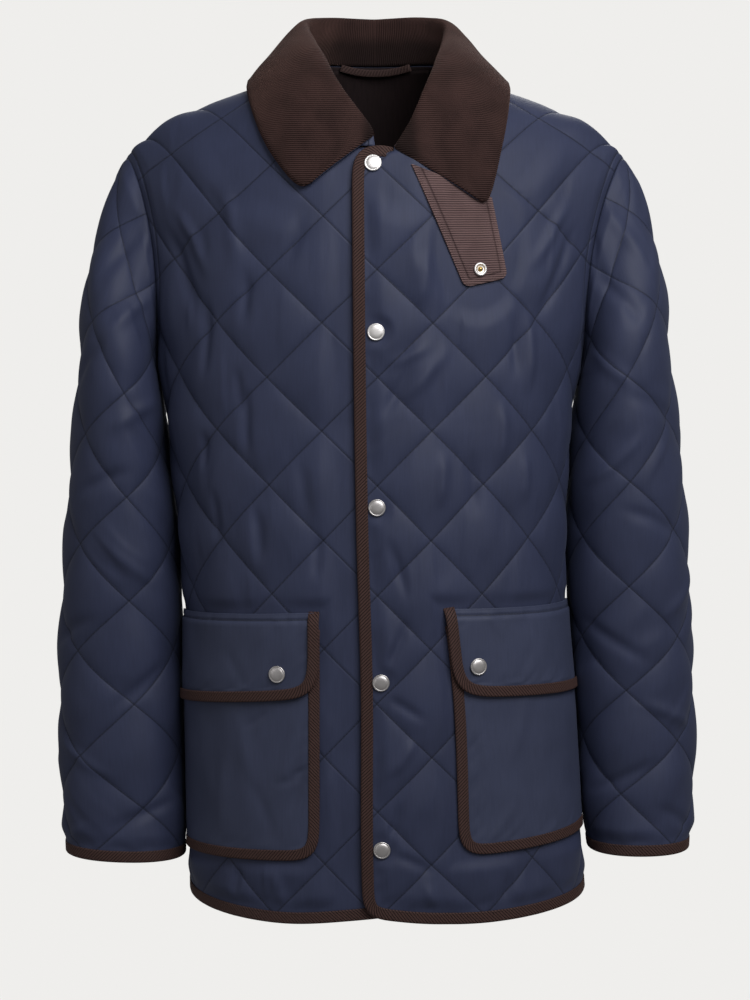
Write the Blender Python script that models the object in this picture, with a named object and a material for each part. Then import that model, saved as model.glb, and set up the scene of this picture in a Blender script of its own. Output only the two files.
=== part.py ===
"""A quilted jacket with a corduroy collar, worn shape, no wearer: every cut piece is its own hollow-walled solid.

Metres, +Z up, the front faces -Y and the wearer's left is +X. The origin is the middle of the neck's base.
Each piece is drawn flat, as a cutter would, in two lengths along the cloth: u across it and v down it. A surface
function then carries (u, v) onto the worn form, and the wall is built outwards and inwards from there.
"""

import bpy
import numpy as np
from mathutils import Vector
from mathutils.geometry import delaunay_2d_cdt

# Driving dimensions, in metres.
QUILT = 0.098  # diagonal of one quilted diamond, across and down
GRID = QUILT / 4  # spacing of the wall's points
KEEP_OFF = 0.36 * GRID  # no point of the grid is nearer to a cut's edge
WALL = 0.0025  # stitched-down thickness of a quilted wall
PUFF = 0.0045  # how far a diamond's middle stands over its stitches
GAP = 0.0003  # between two pieces that are sewn together
PINNED = 0.022  # how far from a seam the quilting reaches its full height
TAPE_WIDTH = 0.011
TAPE_THICK = 0.0045
CHEST_Z = -0.330  # where the body's level sections end and its chest and shoulders begin
SHOULDER_Y = 0.008
BODY_POWER = 2.4  # of the body's rounded-square section
SHOULDER_POWER = 2.6  # of the curve from chest to shoulder seam
NECK_HALF = 0.078
NAPE_RISE = 0.075
LAP_LIFT = 0.0055  # the overlapping front over the one beneath
LAP_ENDS = (0.030, 0.075)  # where the lift is full, and where it has gone
SOCKET_RADIUS = 0.0058

# The body below the arms: height, half width on the wearer's right and left, depth in front and behind.
BODY = np.array([
    # z, right, left, front, back
    (-0.330, 0.1950, 0.1835, 0.1270, 0.1060),
    (-0.386, 0.1885, 0.1800, 0.1300, 0.1030),
    (-0.440, 0.1840, 0.1790, 0.1320, 0.1030),
    (-0.500, 0.1785, 0.1785, 0.1330, 0.1060),
    (-0.600, 0.1780, 0.1870, 0.1340, 0.1120),
    (-0.710, 0.1765, 0.1945, 0.1350, 0.1160),
    (-0.800, 0.1760, 0.2020, 0.1350, 0.1180),
])

# The shoulder seam's height, by distance from the middle.
RIDGE = np.array([
    # x, z
    (0.000, 0.012),
    (0.050, 0.010),
    (0.078, 0.000),
    (0.115, -0.0205),
    (0.165, -0.0395),
    (0.194, -0.0535),
    (0.217, -0.0690),
    (0.237, -0.0860),
    (0.275, -0.1250),
])
SHOULDER_TIP = 0.918  # share of a panel's half width where the shoulder seam ends
REACH = 0.2576  # distance from the middle that a full half width spreads to at the shoulder

# Armholes: share of the panel's half width against share of the way up to the shoulder seam.
FRONT_ARMHOLE = np.array([
    # across, up
    (1.000, 0.150),
    (0.962, 0.172),
    (0.912, 0.225),
    (0.864, 0.310),
    (0.839, 0.420),
    (0.836, 0.540),
    (0.850, 0.660),
    (0.873, 0.780),
    (0.896, 0.890),
    (0.918, 1.000),
])
BACK_ARMHOLE = np.array([
    (1.000, 0.150),
    (0.975, 0.180),
    (0.945, 0.245),
    (0.922, 0.330),
    (0.908, 0.430),
    (0.902, 0.540),
    (0.902, 0.660),
    (0.906, 0.780),
    (0.912, 0.890),
    (0.918, 1.000),
])

# Sleeves, ring by ring from the underarm to the cuff: outer point, inner point, half depth and middle in y.
RIGHT_SLEEVE = np.array([
    # outer_x, outer_z, inner_x, inner_z, half_depth, centre_y
    (0.2745, -0.258, 0.2060, -0.296, 0.0790, 0.004),
    (0.2810, -0.320, 0.2015, -0.345, 0.0770, 0.003),
    (0.2870, -0.385, 0.1945, -0.400, 0.0740, 0.001),
    (0.2925, -0.455, 0.1895, -0.462, 0.0700, -0.002),
    (0.2975, -0.530, 0.1880, -0.532, 0.0650, -0.007),
    (0.2985, -0.610, 0.1880, -0.610, 0.0600, -0.011),
    (0.2970, -0.680, 0.1870, -0.682, 0.0560, -0.014),
    (0.2945, -0.741, 0.1875, -0.745, 0.0530, -0.016),
])
LEFT_SLEEVE = np.array([
    (0.2740, -0.255, 0.2010, -0.293, 0.0790, 0.004),
    (0.2825, -0.320, 0.1950, -0.345, 0.0770, 0.003),
    (0.2895, -0.385, 0.1885, -0.400, 0.0740, 0.001),
    (0.2945, -0.455, 0.1860, -0.462, 0.0700, -0.002),
    (0.2990, -0.530, 0.1905, -0.532, 0.0650, -0.007),
    (0.3015, -0.610, 0.1975, -0.610, 0.0600, -0.011),
    (0.3020, -0.680, 0.2050, -0.680, 0.0560, -0.014),
    (0.2990, -0.737, 0.2130, -0.738, 0.0530, -0.016),
])
SLEEVE_POWER = 2.2

FRONT, BACK = -1, 1  # which way a panel faces along y

# A middling section of the body, and the rise and depth of the curve from chest to shoulder, share out the lengths.
MEAN_WIDTH = 0.186
MEAN_DEPTH = {FRONT: 0.131, BACK: 0.106}
SHOULDER_RISE = 0.30
SHOULDER_DEPTH = {FRONT: 0.115, BACK: 0.095}
TIP_PULL = 0.055  # how much the shoulder's last tenth is drawn in
TIP_FROM = 0.9
ARMHOLE_SPAN = (0.26, 0.30)  # rough lengths of the armhole tables' two shares


def smooth(at, stations, values):
    """A cubic through a table's rows, each slope the mean of its neighbours."""
    at = np.asarray(at, float)
    slopes = np.gradient(values, stations, axis=0)
    i = np.clip(np.searchsorted(stations, at, side="right") - 1, 0, len(stations) - 2)
    span = stations[i + 1] - stations[i]
    t = (at - stations[i]) / span
    if values.ndim > 1:
        t, span = t[..., None], span[..., None]
    return (
        (2 * t**3 - 3 * t**2 + 1) * values[i]
        + (t**3 - 2 * t**2 + t) * span * slopes[i]
        + (3 * t**2 - 2 * t**3) * values[i + 1]
        + (t**3 - t**2) * span * slopes[i + 1]
    )


def ease(t):
    """0 to 1 with level ends."""
    t = np.clip(t, 0.0, 1.0)
    return t * t * (3 - 2 * t)


def rounded(angle, power):
    """Sine and cosine raised, with their signs, so that a circle becomes a rounded square."""
    sine, cosine = np.sin(angle), np.cos(angle)
    return (
        np.sign(sine) * np.abs(sine) ** (2 / power),
        np.sign(cosine) * np.abs(cosine) ** (2 / power),
    )


def arc_table(across, deep, power, turn=np.pi / 2):
    """Angles against share of arc length on a rounded-square arc, and the arc's length."""
    angle = np.linspace(0, turn, 1601)
    sine, cosine = rounded(angle, power)
    steps = np.hypot(np.diff(across * sine), np.diff(deep * cosine))
    lengths = np.concatenate([[0], np.cumsum(steps)])
    return angle, lengths / lengths[-1], lengths[-1]


def section_columns(panel, left):
    """Half width and depth columns of the body's table for one quarter."""
    return BODY[:, 2 if left else 1], BODY[:, 3 if panel == FRONT else 4]


QUARTER = {
    (panel, left): np.array([
        arc_table(width, depth, BODY_POWER)[2] for width, depth in zip(*section_columns(panel, left))
    ])
    for panel in (FRONT, BACK)
    for left in (False, True)
}
AROUND = {
    FRONT: arc_table(MEAN_WIDTH, MEAN_DEPTH[FRONT], BODY_POWER)[:2],
    BACK: arc_table(MEAN_WIDTH, MEAN_DEPTH[BACK], BODY_POWER)[:2],
}
OVER = {
    FRONT: arc_table(SHOULDER_RISE, SHOULDER_DEPTH[FRONT], SHOULDER_POWER)[:2],
    BACK: arc_table(SHOULDER_RISE, SHOULDER_DEPTH[BACK], SHOULDER_POWER)[:2],
}


def half_width(panel, left, v):
    """Length along the cloth from the middle line to the side seam, v below the chest."""
    down = -np.maximum(v, 0) + CHEST_Z
    return smooth(-down, -BODY[:, 0], QUARTER[panel, left])


def meridian(panel, share):
    """Length from the chest up to the shoulder seam, by share of the half width."""
    across = np.minimum(np.abs(share), 1) * REACH
    rise = ridge(across, panel) - CHEST_Z
    sine, cosine = rounded(np.interp(np.abs(share), AROUND[panel][1], AROUND[panel][0]), BODY_POWER)
    depth = MEAN_DEPTH[panel] * cosine
    # The length of a rounded-square quarter lies close to this mean of its two legs.
    return 0.43 * (rise + depth) + 0.57 * np.hypot(rise, depth)


def ridge(x, panel):
    """Height of the shoulder line, which rises at the nape on the back."""
    height = smooth(np.abs(x), RIDGE[:, 0], RIDGE[:, 1])
    if panel == BACK:
        height = height + NAPE_RISE * np.clip(1 - (x / NECK_HALF) ** 2, 0, 1) ** 2
    return height


def body(panel, u, v):
    """The worn body at lengths u across from the middle line and v down from the chest."""
    u, v = np.broadcast_arrays(np.asarray(u, float), np.asarray(v, float))
    left = u >= 0
    low = CHEST_Z - np.maximum(v, 0)
    columns = [section_columns(panel, side) for side in (False, True)]
    width = np.where(
        left,
        smooth(-low, -BODY[:, 0], columns[1][0]),
        smooth(-low, -BODY[:, 0], columns[0][0]),
    )
    depth = smooth(-low, -BODY[:, 0], columns[0][1])
    share = np.abs(u) / np.where(left, half_width(panel, True, v), half_width(panel, False, v))
    past = np.sign(1 - share)
    share = 1 - np.abs(1 - share)
    sine, cosine = rounded(np.interp(share, AROUND[panel][1], AROUND[panel][0]), BODY_POWER)
    x, y = width * sine, depth * cosine * past

    up = np.maximum(-v, 0) / meridian(panel, share)
    over = np.where(up > 1, -1.0, 1.0)
    up = 1 - np.abs(1 - up)
    rise, fall = rounded(np.interp(up, OVER[panel][1], OVER[panel][0]), SHOULDER_POWER)
    reach = REACH * share * (1 - TIP_PULL * np.clip((share - TIP_FROM) / (1 - TIP_FROM), 0, 1) ** 2)
    spread = 1 - (1 - rise ** (SHOULDER_POWER / 2)) ** 1.5
    x = x + (reach - x) * spread
    z = low + (ridge(x, panel) - CHEST_Z) * rise
    y = panel * (y - SHOULDER_Y * panel) * fall * over + SHOULDER_Y
    return np.stack([np.where(left, x, -x), y, z], axis=-1)


def normals(surface, u, v, facing):
    """Unit normals of a surface function by central differences; facing 1 or -1 turns them outwards."""
    step = 0.0005
    across = surface(u + step, v) - surface(u - step, v)
    down = surface(u, v + step) - surface(u, v - step)
    found = np.cross(across, down)
    return facing * found / np.linalg.norm(found, axis=-1, keepdims=True)


def locate(surface, x, z, start=(0.0, 0.0)):
    """The (u, v) whose point has this x and z, by Newton steps."""
    flat = np.array(start, float)
    for _ in range(12):
        here = surface(flat[0], flat[1])[[0, 2]]
        slopes = np.array([
            (surface(flat[0] + 1e-4, flat[1])[[0, 2]] - here) / 1e-4,
            (surface(flat[0], flat[1] + 1e-4)[[0, 2]] - here) / 1e-4,
        ]).T
        flat += np.clip(np.linalg.solve(slopes, np.array([x, z]) - here), -0.05, 0.05)
    return flat


# ---- The flat cuts ---------------------------------------------------------------------------------------------

# The closing edge of the overlapping front, and the hem's drop below the chest, both along the cloth.
CLOSING_EDGE = np.array([
    # v, u
    (-0.270, -0.0215),
    (-0.050, -0.0190),
    (0.120, -0.0165),
    (0.240, -0.0130),
    (0.380, -0.0130),
    (0.460, -0.0110),
])
FRONT_HEM = np.array([
    # u, v
    (0.000, 0.4460),
    (0.035, 0.4510),
    (0.065, 0.4545),
    (0.125, 0.4535),
    (0.190, 0.4490),
    (0.270, 0.4440),
])
BACK_HEM = np.array([
    (0.000, 0.4520),
    (0.125, 0.4500),
    (0.270, 0.4440),
])
UNDER_EDGE = 0.026  # the hidden front's edge, past the middle
COLLAR_END = {True: 0.017, False: 0.0}  # where the collar stops on each front, past the middle
NECK_UP = {FRONT: 0.620, BACK: 0.720}  # share of the way to the shoulder seam where the neckline crosses the middle
NECK_DIP = {FRONT: 1.5, BACK: 1.0}  # a higher power keeps the neckline low for longer
NECK_SHARE = NECK_HALF / REACH
TOP_CORNER = {True: 0.026, False: 0.016}
HEM_CORNER = 0.016
CORNER_V = 0.4465  # of the hem's corners at the closing
HEM_START = 0.030  # where the hem leaves its corner
EDGE_V = np.linspace(-0.250, 0.440, 29)
TOP_RISE = 0.006  # of the overlapping front's top corner over the neckline


def neckline(panel, left, angle):
    """Flat points of the neckline, a quarter ellipse from the middle line (0) to the shoulder seam (pi/2)."""
    half = half_width(panel, left, 0.0)
    share = NECK_SHARE * np.sin(angle)
    up = meridian(panel, share)
    low = NECK_UP[panel] * meridian(panel, 0.0)
    high = meridian(panel, NECK_SHARE)
    rise = low + (high - low) * np.abs(1 - np.cos(angle)) ** NECK_DIP[panel]
    return np.stack([(1 if left else -1) * share * half, -np.minimum(rise, up - GAP)], axis=-1)


def neck_angle(left, u):
    """Where on the front neckline a distance past the middle falls."""
    return np.arcsin(abs(u) / (NECK_SHARE * half_width(FRONT, left, 0.0)))


def along(points, spacing):
    """Points at an even spacing along a polyline."""
    points = np.asarray(points, float)
    lengths = np.concatenate([[0], np.cumsum(np.linalg.norm(np.diff(points, axis=0), axis=1))])
    count = max(2, int(round(lengths[-1] / spacing)) + 1)
    at = np.linspace(0, lengths[-1], count)
    return np.stack([np.interp(at, lengths, column) for column in points.T], axis=-1)


def rounded_corner(before, corner, after, radius, steps=4):
    """An arc-like curve that cuts off a corner at this distance from it."""
    before, corner, after = (np.asarray(p, float) for p in (before, corner, after))
    start = corner + radius * (before - corner) / np.linalg.norm(before - corner)
    end = corner + radius * (after - corner) / np.linalg.norm(after - corner)
    t = np.linspace(0, 1, steps + 1)[:, None]
    return (1 - t) ** 2 * start + 2 * t * (1 - t) * corner + t**2 * end


def inset(points, distance):
    """A polyline moved sideways, to the left of its direction."""
    step = np.gradient(points, axis=0)
    side = np.stack([-step[:, 1], step[:, 0]], axis=-1)
    return points + distance * side / np.linalg.norm(side, axis=1, keepdims=True)


def finished_edge(left):
    """A front's bound edge: from the collar's end round the top corner, down the front, and along the hem."""
    side = 1 if left else -1
    half = half_width(FRONT, left, 0.4)
    if left:
        edge = np.stack([smooth(EDGE_V, CLOSING_EDGE[:, 0], CLOSING_EDGE[:, 1]), EDGE_V], axis=-1)
        top = neckline(FRONT, True, neck_angle(True, COLLAR_END[True]))
    else:
        edge = np.stack([np.full(len(EDGE_V), UNDER_EDGE), EDGE_V], axis=-1)
        top = neckline(FRONT, False, 0.0)
    neck_v = neckline(FRONT, True, 0.0)[1]
    hem_u = np.linspace(HEM_START, half, 11)
    hem = np.stack([side * hem_u, smooth(hem_u, FRONT_HEM[:, 0], FRONT_HEM[:, 1])], axis=-1)
    top_corner = np.array([edge[0, 0], neck_v - (TOP_RISE if left else 0.0)])
    low_corner = np.array([edge[-1, 0], CORNER_V])
    upper = rounded_corner(top, top_corner, edge[2], TOP_CORNER[left])
    lower = rounded_corner(edge[-3], low_corner, hem[0], HEM_CORNER)
    middle = edge[(edge[:, 1] > upper[-1, 1] + 0.008) & (edge[:, 1] < lower[0, 1] - 0.008)]
    return np.concatenate([[top], upper, middle, lower, hem])


def lap_lift(u):
    """How far the overlapping front stands over the one beneath."""
    start, end = LAP_ENDS
    return LAP_LIFT * (1 - ease((u - start) / (end - start)))


def front_surface(left):
    """The form of one front; the wearer's left one is lifted where it overlaps."""

    def surface(u, v):
        points = body(FRONT, u, v)
        if left:
            points[..., 1] -= lap_lift(np.asarray(u, float))
        return points

    return surface


def back_surface(u, v):
    return body(BACK, u, v)


# ---- Armholes and sleeves --------------------------------------------------------------------------------------

ARMHOLE_STEPS = 11  # points on each half of an armhole


def armhole_flat(panel, left, turn):
    """Flat points of a panel's armhole; turn is 0 at the shoulder tip and pi at the underarm, either way round."""
    table = FRONT_ARMHOLE if panel == FRONT else BACK_ARMHOLE
    steps = np.hypot(*(np.diff(table[:, i]) * ARMHOLE_SPAN[i] for i in (0, 1)))
    stations = np.concatenate([[0], np.cumsum(steps)])
    found = smooth((1 - np.asarray(turn) / np.pi) * stations[-1], stations, table)
    side = 1 if left else -1
    across = side * found[..., 0] * half_width(panel, left, 0.0)
    return np.stack([across, -found[..., 1] * meridian(panel, found[..., 0])], axis=-1)


def armhole(left, angle):
    """The armhole's seam line: angle 0 at the shoulder tip, a quarter turn at the back, pi at the underarm."""
    angle = np.mod(np.asarray(angle, float), 2 * np.pi)
    back = armhole_flat(BACK, left, np.minimum(angle, np.pi))
    front = armhole_flat(FRONT, left, np.minimum(2 * np.pi - angle, np.pi))
    on_back = body(BACK, back[..., 0], back[..., 1])
    on_front = front_surface(left)(front[..., 0], front[..., 1])
    return np.where((angle <= np.pi)[..., None], on_back, on_front)


def armhole_axis(left):
    """Unit direction in which an arm leaves the armhole's plane."""
    tip, back, under, front = armhole(left, np.arange(4) * np.pi / 2)
    axis = np.cross(tip - under, front - back)
    axis *= np.sign(axis[0]) * (1 if left else -1)
    return axis / np.linalg.norm(axis)


def armhole_out(left, angle):
    """Unit directions in the armhole's plane, away from its middle: both walls that meet there end along them."""
    step = 0.02
    tangent = armhole(left, angle + step) - armhole(left, angle - step)
    out = np.cross(tangent, armhole_axis(left))
    out /= np.linalg.norm(out, axis=-1, keepdims=True)
    middle = armhole(left, np.arange(8) * np.pi / 4).mean(axis=0)
    return out * np.sign(np.sum(out * (armhole(left, angle) - middle), axis=-1, keepdims=True))


SLEEVES = {False: RIGHT_SLEEVE, True: LEFT_SLEEVE}
SLEEVE_TURN = arc_table(0.068, 0.050, SLEEVE_POWER, np.pi)[:2]


def sleeve_stations(left):
    """Length down the sleeve of each row of its table."""
    table = SLEEVES[left]
    middles = np.stack([table[:, 0] + table[:, 2], table[:, 1] + table[:, 3]], axis=-1) / 2
    return np.concatenate([[0], np.cumsum(np.linalg.norm(np.diff(middles, axis=0), axis=1))])


def sleeve_girth(left, v):
    """Length round the sleeve."""
    table = SLEEVES[left]
    across = np.hypot(table[:, 0] - table[:, 2], table[:, 1] - table[:, 3]) / 2
    girths = np.array([2 * arc_table(d, a, SLEEVE_POWER, np.pi)[2] for d, a in zip(table[:, 4], across)])
    return smooth(np.maximum(v, 0), sleeve_stations(left), girths)


def sleeve_ring(left, angle, v):
    """Points on the sleeve's rings: angle 0 on its outer line, a quarter turn at the back, pi at its inner seam."""
    side = 1 if left else -1
    row = smooth(v, sleeve_stations(left), SLEEVES[left])
    sine, cosine = rounded(angle, SLEEVE_POWER)
    x = (row[..., 0] + row[..., 2]) / 2 + (row[..., 0] - row[..., 2]) / 2 * cosine
    z = (row[..., 1] + row[..., 3]) / 2 + (row[..., 1] - row[..., 3]) / 2 * cosine
    return np.stack([side * x, row[..., 5] + row[..., 4] * sine, z], axis=-1)


def sleeve_head(left, angle, t):
    """The sleeve's head: t is 0 at the underarm's ring and 1 at the armhole, on a curve that leaves both smoothly."""
    angle, t = np.broadcast_arrays(np.asarray(angle, float), np.asarray(t, float))
    ring = sleeve_ring(left, angle, np.zeros(angle.shape))
    seam = armhole(left, angle)
    length = np.linalg.norm(ring - seam, axis=-1, keepdims=True)
    centres = sleeve_ring(left, np.array([0, np.pi]), np.zeros(2)).mean(axis=0)
    below = sleeve_ring(left, np.array([0, np.pi]), np.full(2, 0.06)).mean(axis=0)
    up = (centres - below) / np.linalg.norm(centres - below)
    out = 0.42 * armhole_axis(left) + np.array([0, 0, -0.9])
    out /= np.linalg.norm(out)
    t = t[..., None]
    return (
        (1 - t) ** 3 * ring
        + 3 * t * (1 - t) ** 2 * (ring + up * length * 0.36)
        + 3 * t**2 * (1 - t) * (seam + out * length * 0.36)
        + t**3 * seam
    )


HEAD_TURNS = np.linspace(-np.pi, np.pi, 129)
HEAD_RISE = {}
for wearers_left in (False, True):
    along_head = sleeve_head(wearers_left, HEAD_TURNS[:, None], np.linspace(0, 1, 13)[None, :])
    HEAD_RISE[wearers_left] = np.linalg.norm(np.diff(along_head, axis=1), axis=2).sum(axis=1)


def head_rise(left, angle):
    """Length along the cloth from the underarm's ring up to the armhole."""
    return np.interp(np.mod(angle + np.pi, 2 * np.pi) - np.pi, HEAD_TURNS, HEAD_RISE[left])


def sleeve_turn(share):
    """Angle round the sleeve by share of its half girth, counted from the outer line towards the back."""
    share = np.mod(share + 1, 2) - 1
    return np.sign(share) * np.interp(np.abs(share), SLEEVE_TURN[1], SLEEVE_TURN[0])


def sleeve_surface(left):
    """The form of one sleeve: u round it from the outer line, v down it from the underarm."""

    def surface(u, v):
        u, v = np.broadcast_arrays(np.asarray(u, float), np.asarray(v, float))
        angle = sleeve_turn(u / (sleeve_girth(left, v) / 2))
        arm = sleeve_ring(left, angle, np.maximum(v, 0))
        head = sleeve_head(left, angle, np.maximum(-v, 0) / head_rise(left, angle))
        return np.where((v >= 0)[..., None], arm, head)

    return surface


# ---- Walls from flat cuts --------------------------------------------------------------------------------------


def material(name, colour, roughness, metallic=0.0):
    made = bpy.data.materials.new(name)
    made.use_nodes = True
    shader = made.node_tree.nodes["Principled BSDF"]
    channels = [int(colour[i : i + 2], 16) / 255 for i in (0, 2, 4)]
    linear = [c / 12.92 if c <= 0.04045 else ((c + 0.055) / 1.055) ** 2.4 for c in channels]
    shader.inputs["Base Color"].default_value = (*linear, 1)
    shader.inputs["Roughness"].default_value = roughness
    shader.inputs["Metallic"].default_value = metallic
    return made


def add_object(name, points, faces, finish):
    """One closed mesh object, turned the right way out."""
    points = np.asarray(points, float)
    faces = [tuple(int(i) for i in face) for face in faces]
    corners = np.array([(f[0], f[i], f[i + 1]) for f in faces for i in range(1, len(f) - 1)])
    volume = np.linalg.det(points[corners]).sum() / 6
    if volume < 0:
        faces = [face[::-1] for face in faces]
    mesh = bpy.data.meshes.new(name)
    mesh.from_pydata(points.tolist(), [], faces)
    mesh.materials.append(finish)
    mesh.update()
    made = bpy.data.objects.new(name, mesh)
    bpy.context.scene.collection.objects.link(made)
    return made


def inside(outline, points):
    """Which points lie inside a closed polygon."""
    start, end = outline, np.roll(outline, -1, axis=0)
    x, y = points[:, 0, None], points[:, 1, None]
    crosses = (start[:, 1] > y) != (end[:, 1] > y)
    rise = np.where(end[:, 1] == start[:, 1], 1e-12, end[:, 1] - start[:, 1])
    at = start[:, 0] + (y - start[:, 1]) * (end[:, 0] - start[:, 0]) / rise
    return (crosses & (x < at)).sum(axis=1) % 2 == 1


def off_edge(line, points, closed=True):
    """Each point's distance to the nearest edge of a polygon or an open polyline."""
    start, end = (line, np.roll(line, -1, axis=0)) if closed else (line[:-1], line[1:])
    edge = end - start
    from_start = points[:, None] - start
    t = np.clip((from_start * edge).sum(axis=2) / (edge**2).sum(axis=1), 0, 1)
    return np.linalg.norm(from_start - t[..., None] * edge, axis=2).min(axis=1)


def stitch_height(u, v, origin):
    """0 on the quilting's lines and 1 in the middle of each diamond."""
    a, b = (u - origin[0]) / QUILT, (v - origin[1]) / QUILT
    return np.sqrt(np.abs(np.sin(np.pi * (a + b)) * np.sin(np.pi * (a - b))))


def cut(outline, origin, seats=(), crease=None, grid=GRID):
    """Triangles over a flat cut: points on the quilting's grid or a coarser one, joined along its lines.

    Each seat adds a ring of points, and a crease a row of them, with no grid point close by.
    """
    low, high = outline.min(axis=0), outline.max(axis=0)
    first = np.floor((low - origin) / grid).astype(int)
    last = np.ceil((high - origin) / grid).astype(int)
    columns, rows = np.meshgrid(np.arange(first[0], last[0] + 1), np.arange(first[1], last[1] + 1), indexing="ij")
    places = np.stack([columns.ravel(), rows.ravel()], axis=-1)
    points = np.asarray(origin) + places * grid
    keep = inside(outline, points) & (off_edge(outline, points) > KEEP_OFF)
    for u, v, radius in seats:
        keep &= np.hypot(points[:, 0] - u, points[:, 1] - v) > radius + KEEP_OFF / 2
    if crease is not None:
        keep &= off_edge(crease, points, closed=False) > KEEP_OFF
    points, places = points[keep], [tuple(p) for p in places[keep]]
    number = {place: len(outline) + i for i, place in enumerate(places)}
    count = len(outline)
    edges = [(i, (i + 1) % count) for i in range(count)]
    for i, j in places:
        turned = (i - j) % 2 == 1
        a, b = ((i + 1, j), (i, j + 1)) if turned else ((i, j), (i + 1, j + 1))
        if a in number and b in number:
            edges.append((number[a], number[b]))
    flat = [*outline, *points]
    turns = np.arange(8) * np.pi / 4
    for u, v, radius in seats:
        ring = len(flat)
        flat += list(np.stack([u + radius * np.cos(turns), v + radius * np.sin(turns)], axis=-1))
        edges += [(ring + i, ring + (i + 1) % 8) for i in range(8)]
    if crease is not None:
        edges += [(len(flat) + i, len(flat) + i + 1) for i in range(len(crease) - 1)]
        flat += list(crease)
    found = delaunay_2d_cdt([Vector(p) for p in flat], edges, [], 1, 1e-6, True)
    made = np.array([tuple(p) for p in found[0]])
    source = np.array([ids[0] if ids else -1 for ids in found[3]])
    triangles = np.array(found[2])
    triangles = triangles[inside(outline, made[triangles].mean(axis=1))]
    return made, [tuple(face) for face in triangles.tolist()], source


def wall(name, outline, surface, facing, finish, *, origin=(0.0, 0.0), puff=0.0, calm=None, lift=0.0,
         thick=WALL, grid=GRID, seats=(), crease=None, edge_out=None, sewn=None):
    """A cut carried onto its form as a closed wall.

    The outer points stand off by the lift and, where quilted, the diamonds' height; the inner ones are plain.
    edge_out gives marked outline points another direction and a shift, and sewn joins two edges into a tube.
    """
    outline = np.asarray(outline, float)
    flat, faces, source = cut(outline, origin, seats, crease, grid)
    u, v = flat[:, 0], flat[:, 1]
    middle = surface(u, v)
    out = normals(surface, u, v, facing)
    for place, (direction, shift) in (edge_out or {}).items():
        out[source == place] = direction
        middle[source == place] += shift
    on_edge = (source >= 0) & (source < len(outline))
    seat_points = np.zeros(len(flat), bool)
    for su, sv, radius in seats:
        seat_points |= np.hypot(u - su, v - sv) < radius * 1.01
    height = puff * stitch_height(u, v, origin) * ~on_edge * ~seat_points * ease(off_edge(outline, flat) / PINNED)
    if calm:
        height = height * calm(u, v)
    raised = lift(u, v) if callable(lift) else np.full(len(flat), lift)
    outer = middle + out * (raised + height)[:, None]
    inner = middle + out * (raised - thick)[:, None]
    count = len(flat)
    directed = {(a, b) for face in faces for a, b in zip(face, face[1:] + face[:1])}
    rim = [(a, b) for a, b in sorted(directed) if (b, a) not in directed]
    same = {}
    if sewn:
        index = {int(s): i for i, s in enumerate(source) if s >= 0}
        seams = [{index[i] for i in edge} for edge in sewn]
        same = {index[b]: index[a] for a, b in zip(*sewn)}
        rim = [(a, b) for a, b in rim if not any(a in seam and b in seam for seam in seams)]
    pick = np.array([same.get(i, i) for i in range(count)])
    points = np.concatenate([outer, inner])
    whole = [tuple(pick[i] for i in face) for face in faces]
    whole += [tuple(pick[i] + count for i in face[::-1]) for face in faces]
    for a, b in rim:
        # Both walls of a seam split their rim from the higher outer point, so that the halves match.
        low, high = (pick[a], pick[b]) if outer[b, 2] > outer[a, 2] else (pick[b], pick[a])
        turn = 1 if high == pick[b] else -1
        whole += [(high, low, low + count)[::turn], (high, low + count, high + count)[::turn]]
    used = sorted({int(i) for face in whole for i in face})
    renumber = {old: new for new, old in enumerate(used)}
    return add_object(name, points[used], [tuple(renumber[int(i)] for i in face) for face in whole], finish)


def tape(name, path, out, finish, *, width=TAPE_WIDTH, thick=TAPE_THICK, closed=False):
    """A folded binding: a six-sided bar along a path, its flat sides across the directions given in out."""
    path, out = np.asarray(path, float), np.asarray(out, float)
    if closed:
        along_path = np.roll(path, -1, axis=0) - np.roll(path, 1, axis=0)
    else:
        along_path = np.gradient(path, axis=0)
    along_path /= np.linalg.norm(along_path, axis=1, keepdims=True)
    across = np.cross(along_path, out)
    across /= np.linalg.norm(across, axis=1, keepdims=True)
    out = np.cross(across, along_path)
    half, high, bevel = width / 2, thick / 2, thick * 0.4
    section = [(-half, 0), (bevel - half, high), (half - bevel, high), (half, 0), (half - bevel, -high),
               (bevel - half, -high)]
    rings = np.stack([path + across * s + out * h for s, h in section], axis=1)
    count, sides = len(path), len(section)
    faces = []
    for i in range(count if closed else count - 1):
        j = (i + 1) % count
        faces += [
            (i * sides + k, i * sides + (k + 1) % sides, j * sides + (k + 1) % sides, j * sides + k)
            for k in range(sides)
        ]
    if not closed:
        faces += [tuple(range(sides))[::-1], tuple((count - 1) * sides + k for k in range(sides))]
    return add_object(name, rings.reshape(-1, 3), faces, finish)


def turned(name, centre, out, profile, finish, steps=16):
    """A round fastener: a profile of (radius, height) turned about the direction out."""
    out = np.asarray(out, float) / np.linalg.norm(out)
    side = np.cross(out, [0, 0, 1.0])
    side /= np.linalg.norm(side)
    up = np.cross(side, out)
    turns = np.arange(steps) * 2 * np.pi / steps
    ring = np.cos(turns)[:, None] * side + np.sin(turns)[:, None] * up
    points = np.concatenate([centre + radius * ring + height * out for radius, height in profile])
    faces = []
    for i in range(len(profile) - 1):
        faces += [
            (i * steps + k, i * steps + (k + 1) % steps, (i + 1) * steps + (k + 1) % steps, (i + 1) * steps + k)
            for k in range(steps)
        ]
    faces += [tuple(range(steps))[::-1], tuple((len(profile) - 1) * steps + k for k in range(steps))]
    return add_object(name, points, faces, finish)


# ---- Cuts of the panels ----------------------------------------------------------------------------------------

SIDE_HEM = 0.4440  # the finished hem at the side seams
FRONT_NODE = (0.002, 0.055)  # crossings of the quilting's lines
BACK_NODE = (0.0, 0.055)
SLEEVE_NODES = {False: (-0.0605, 0.170), True: (-0.055, 0.160)}


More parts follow.
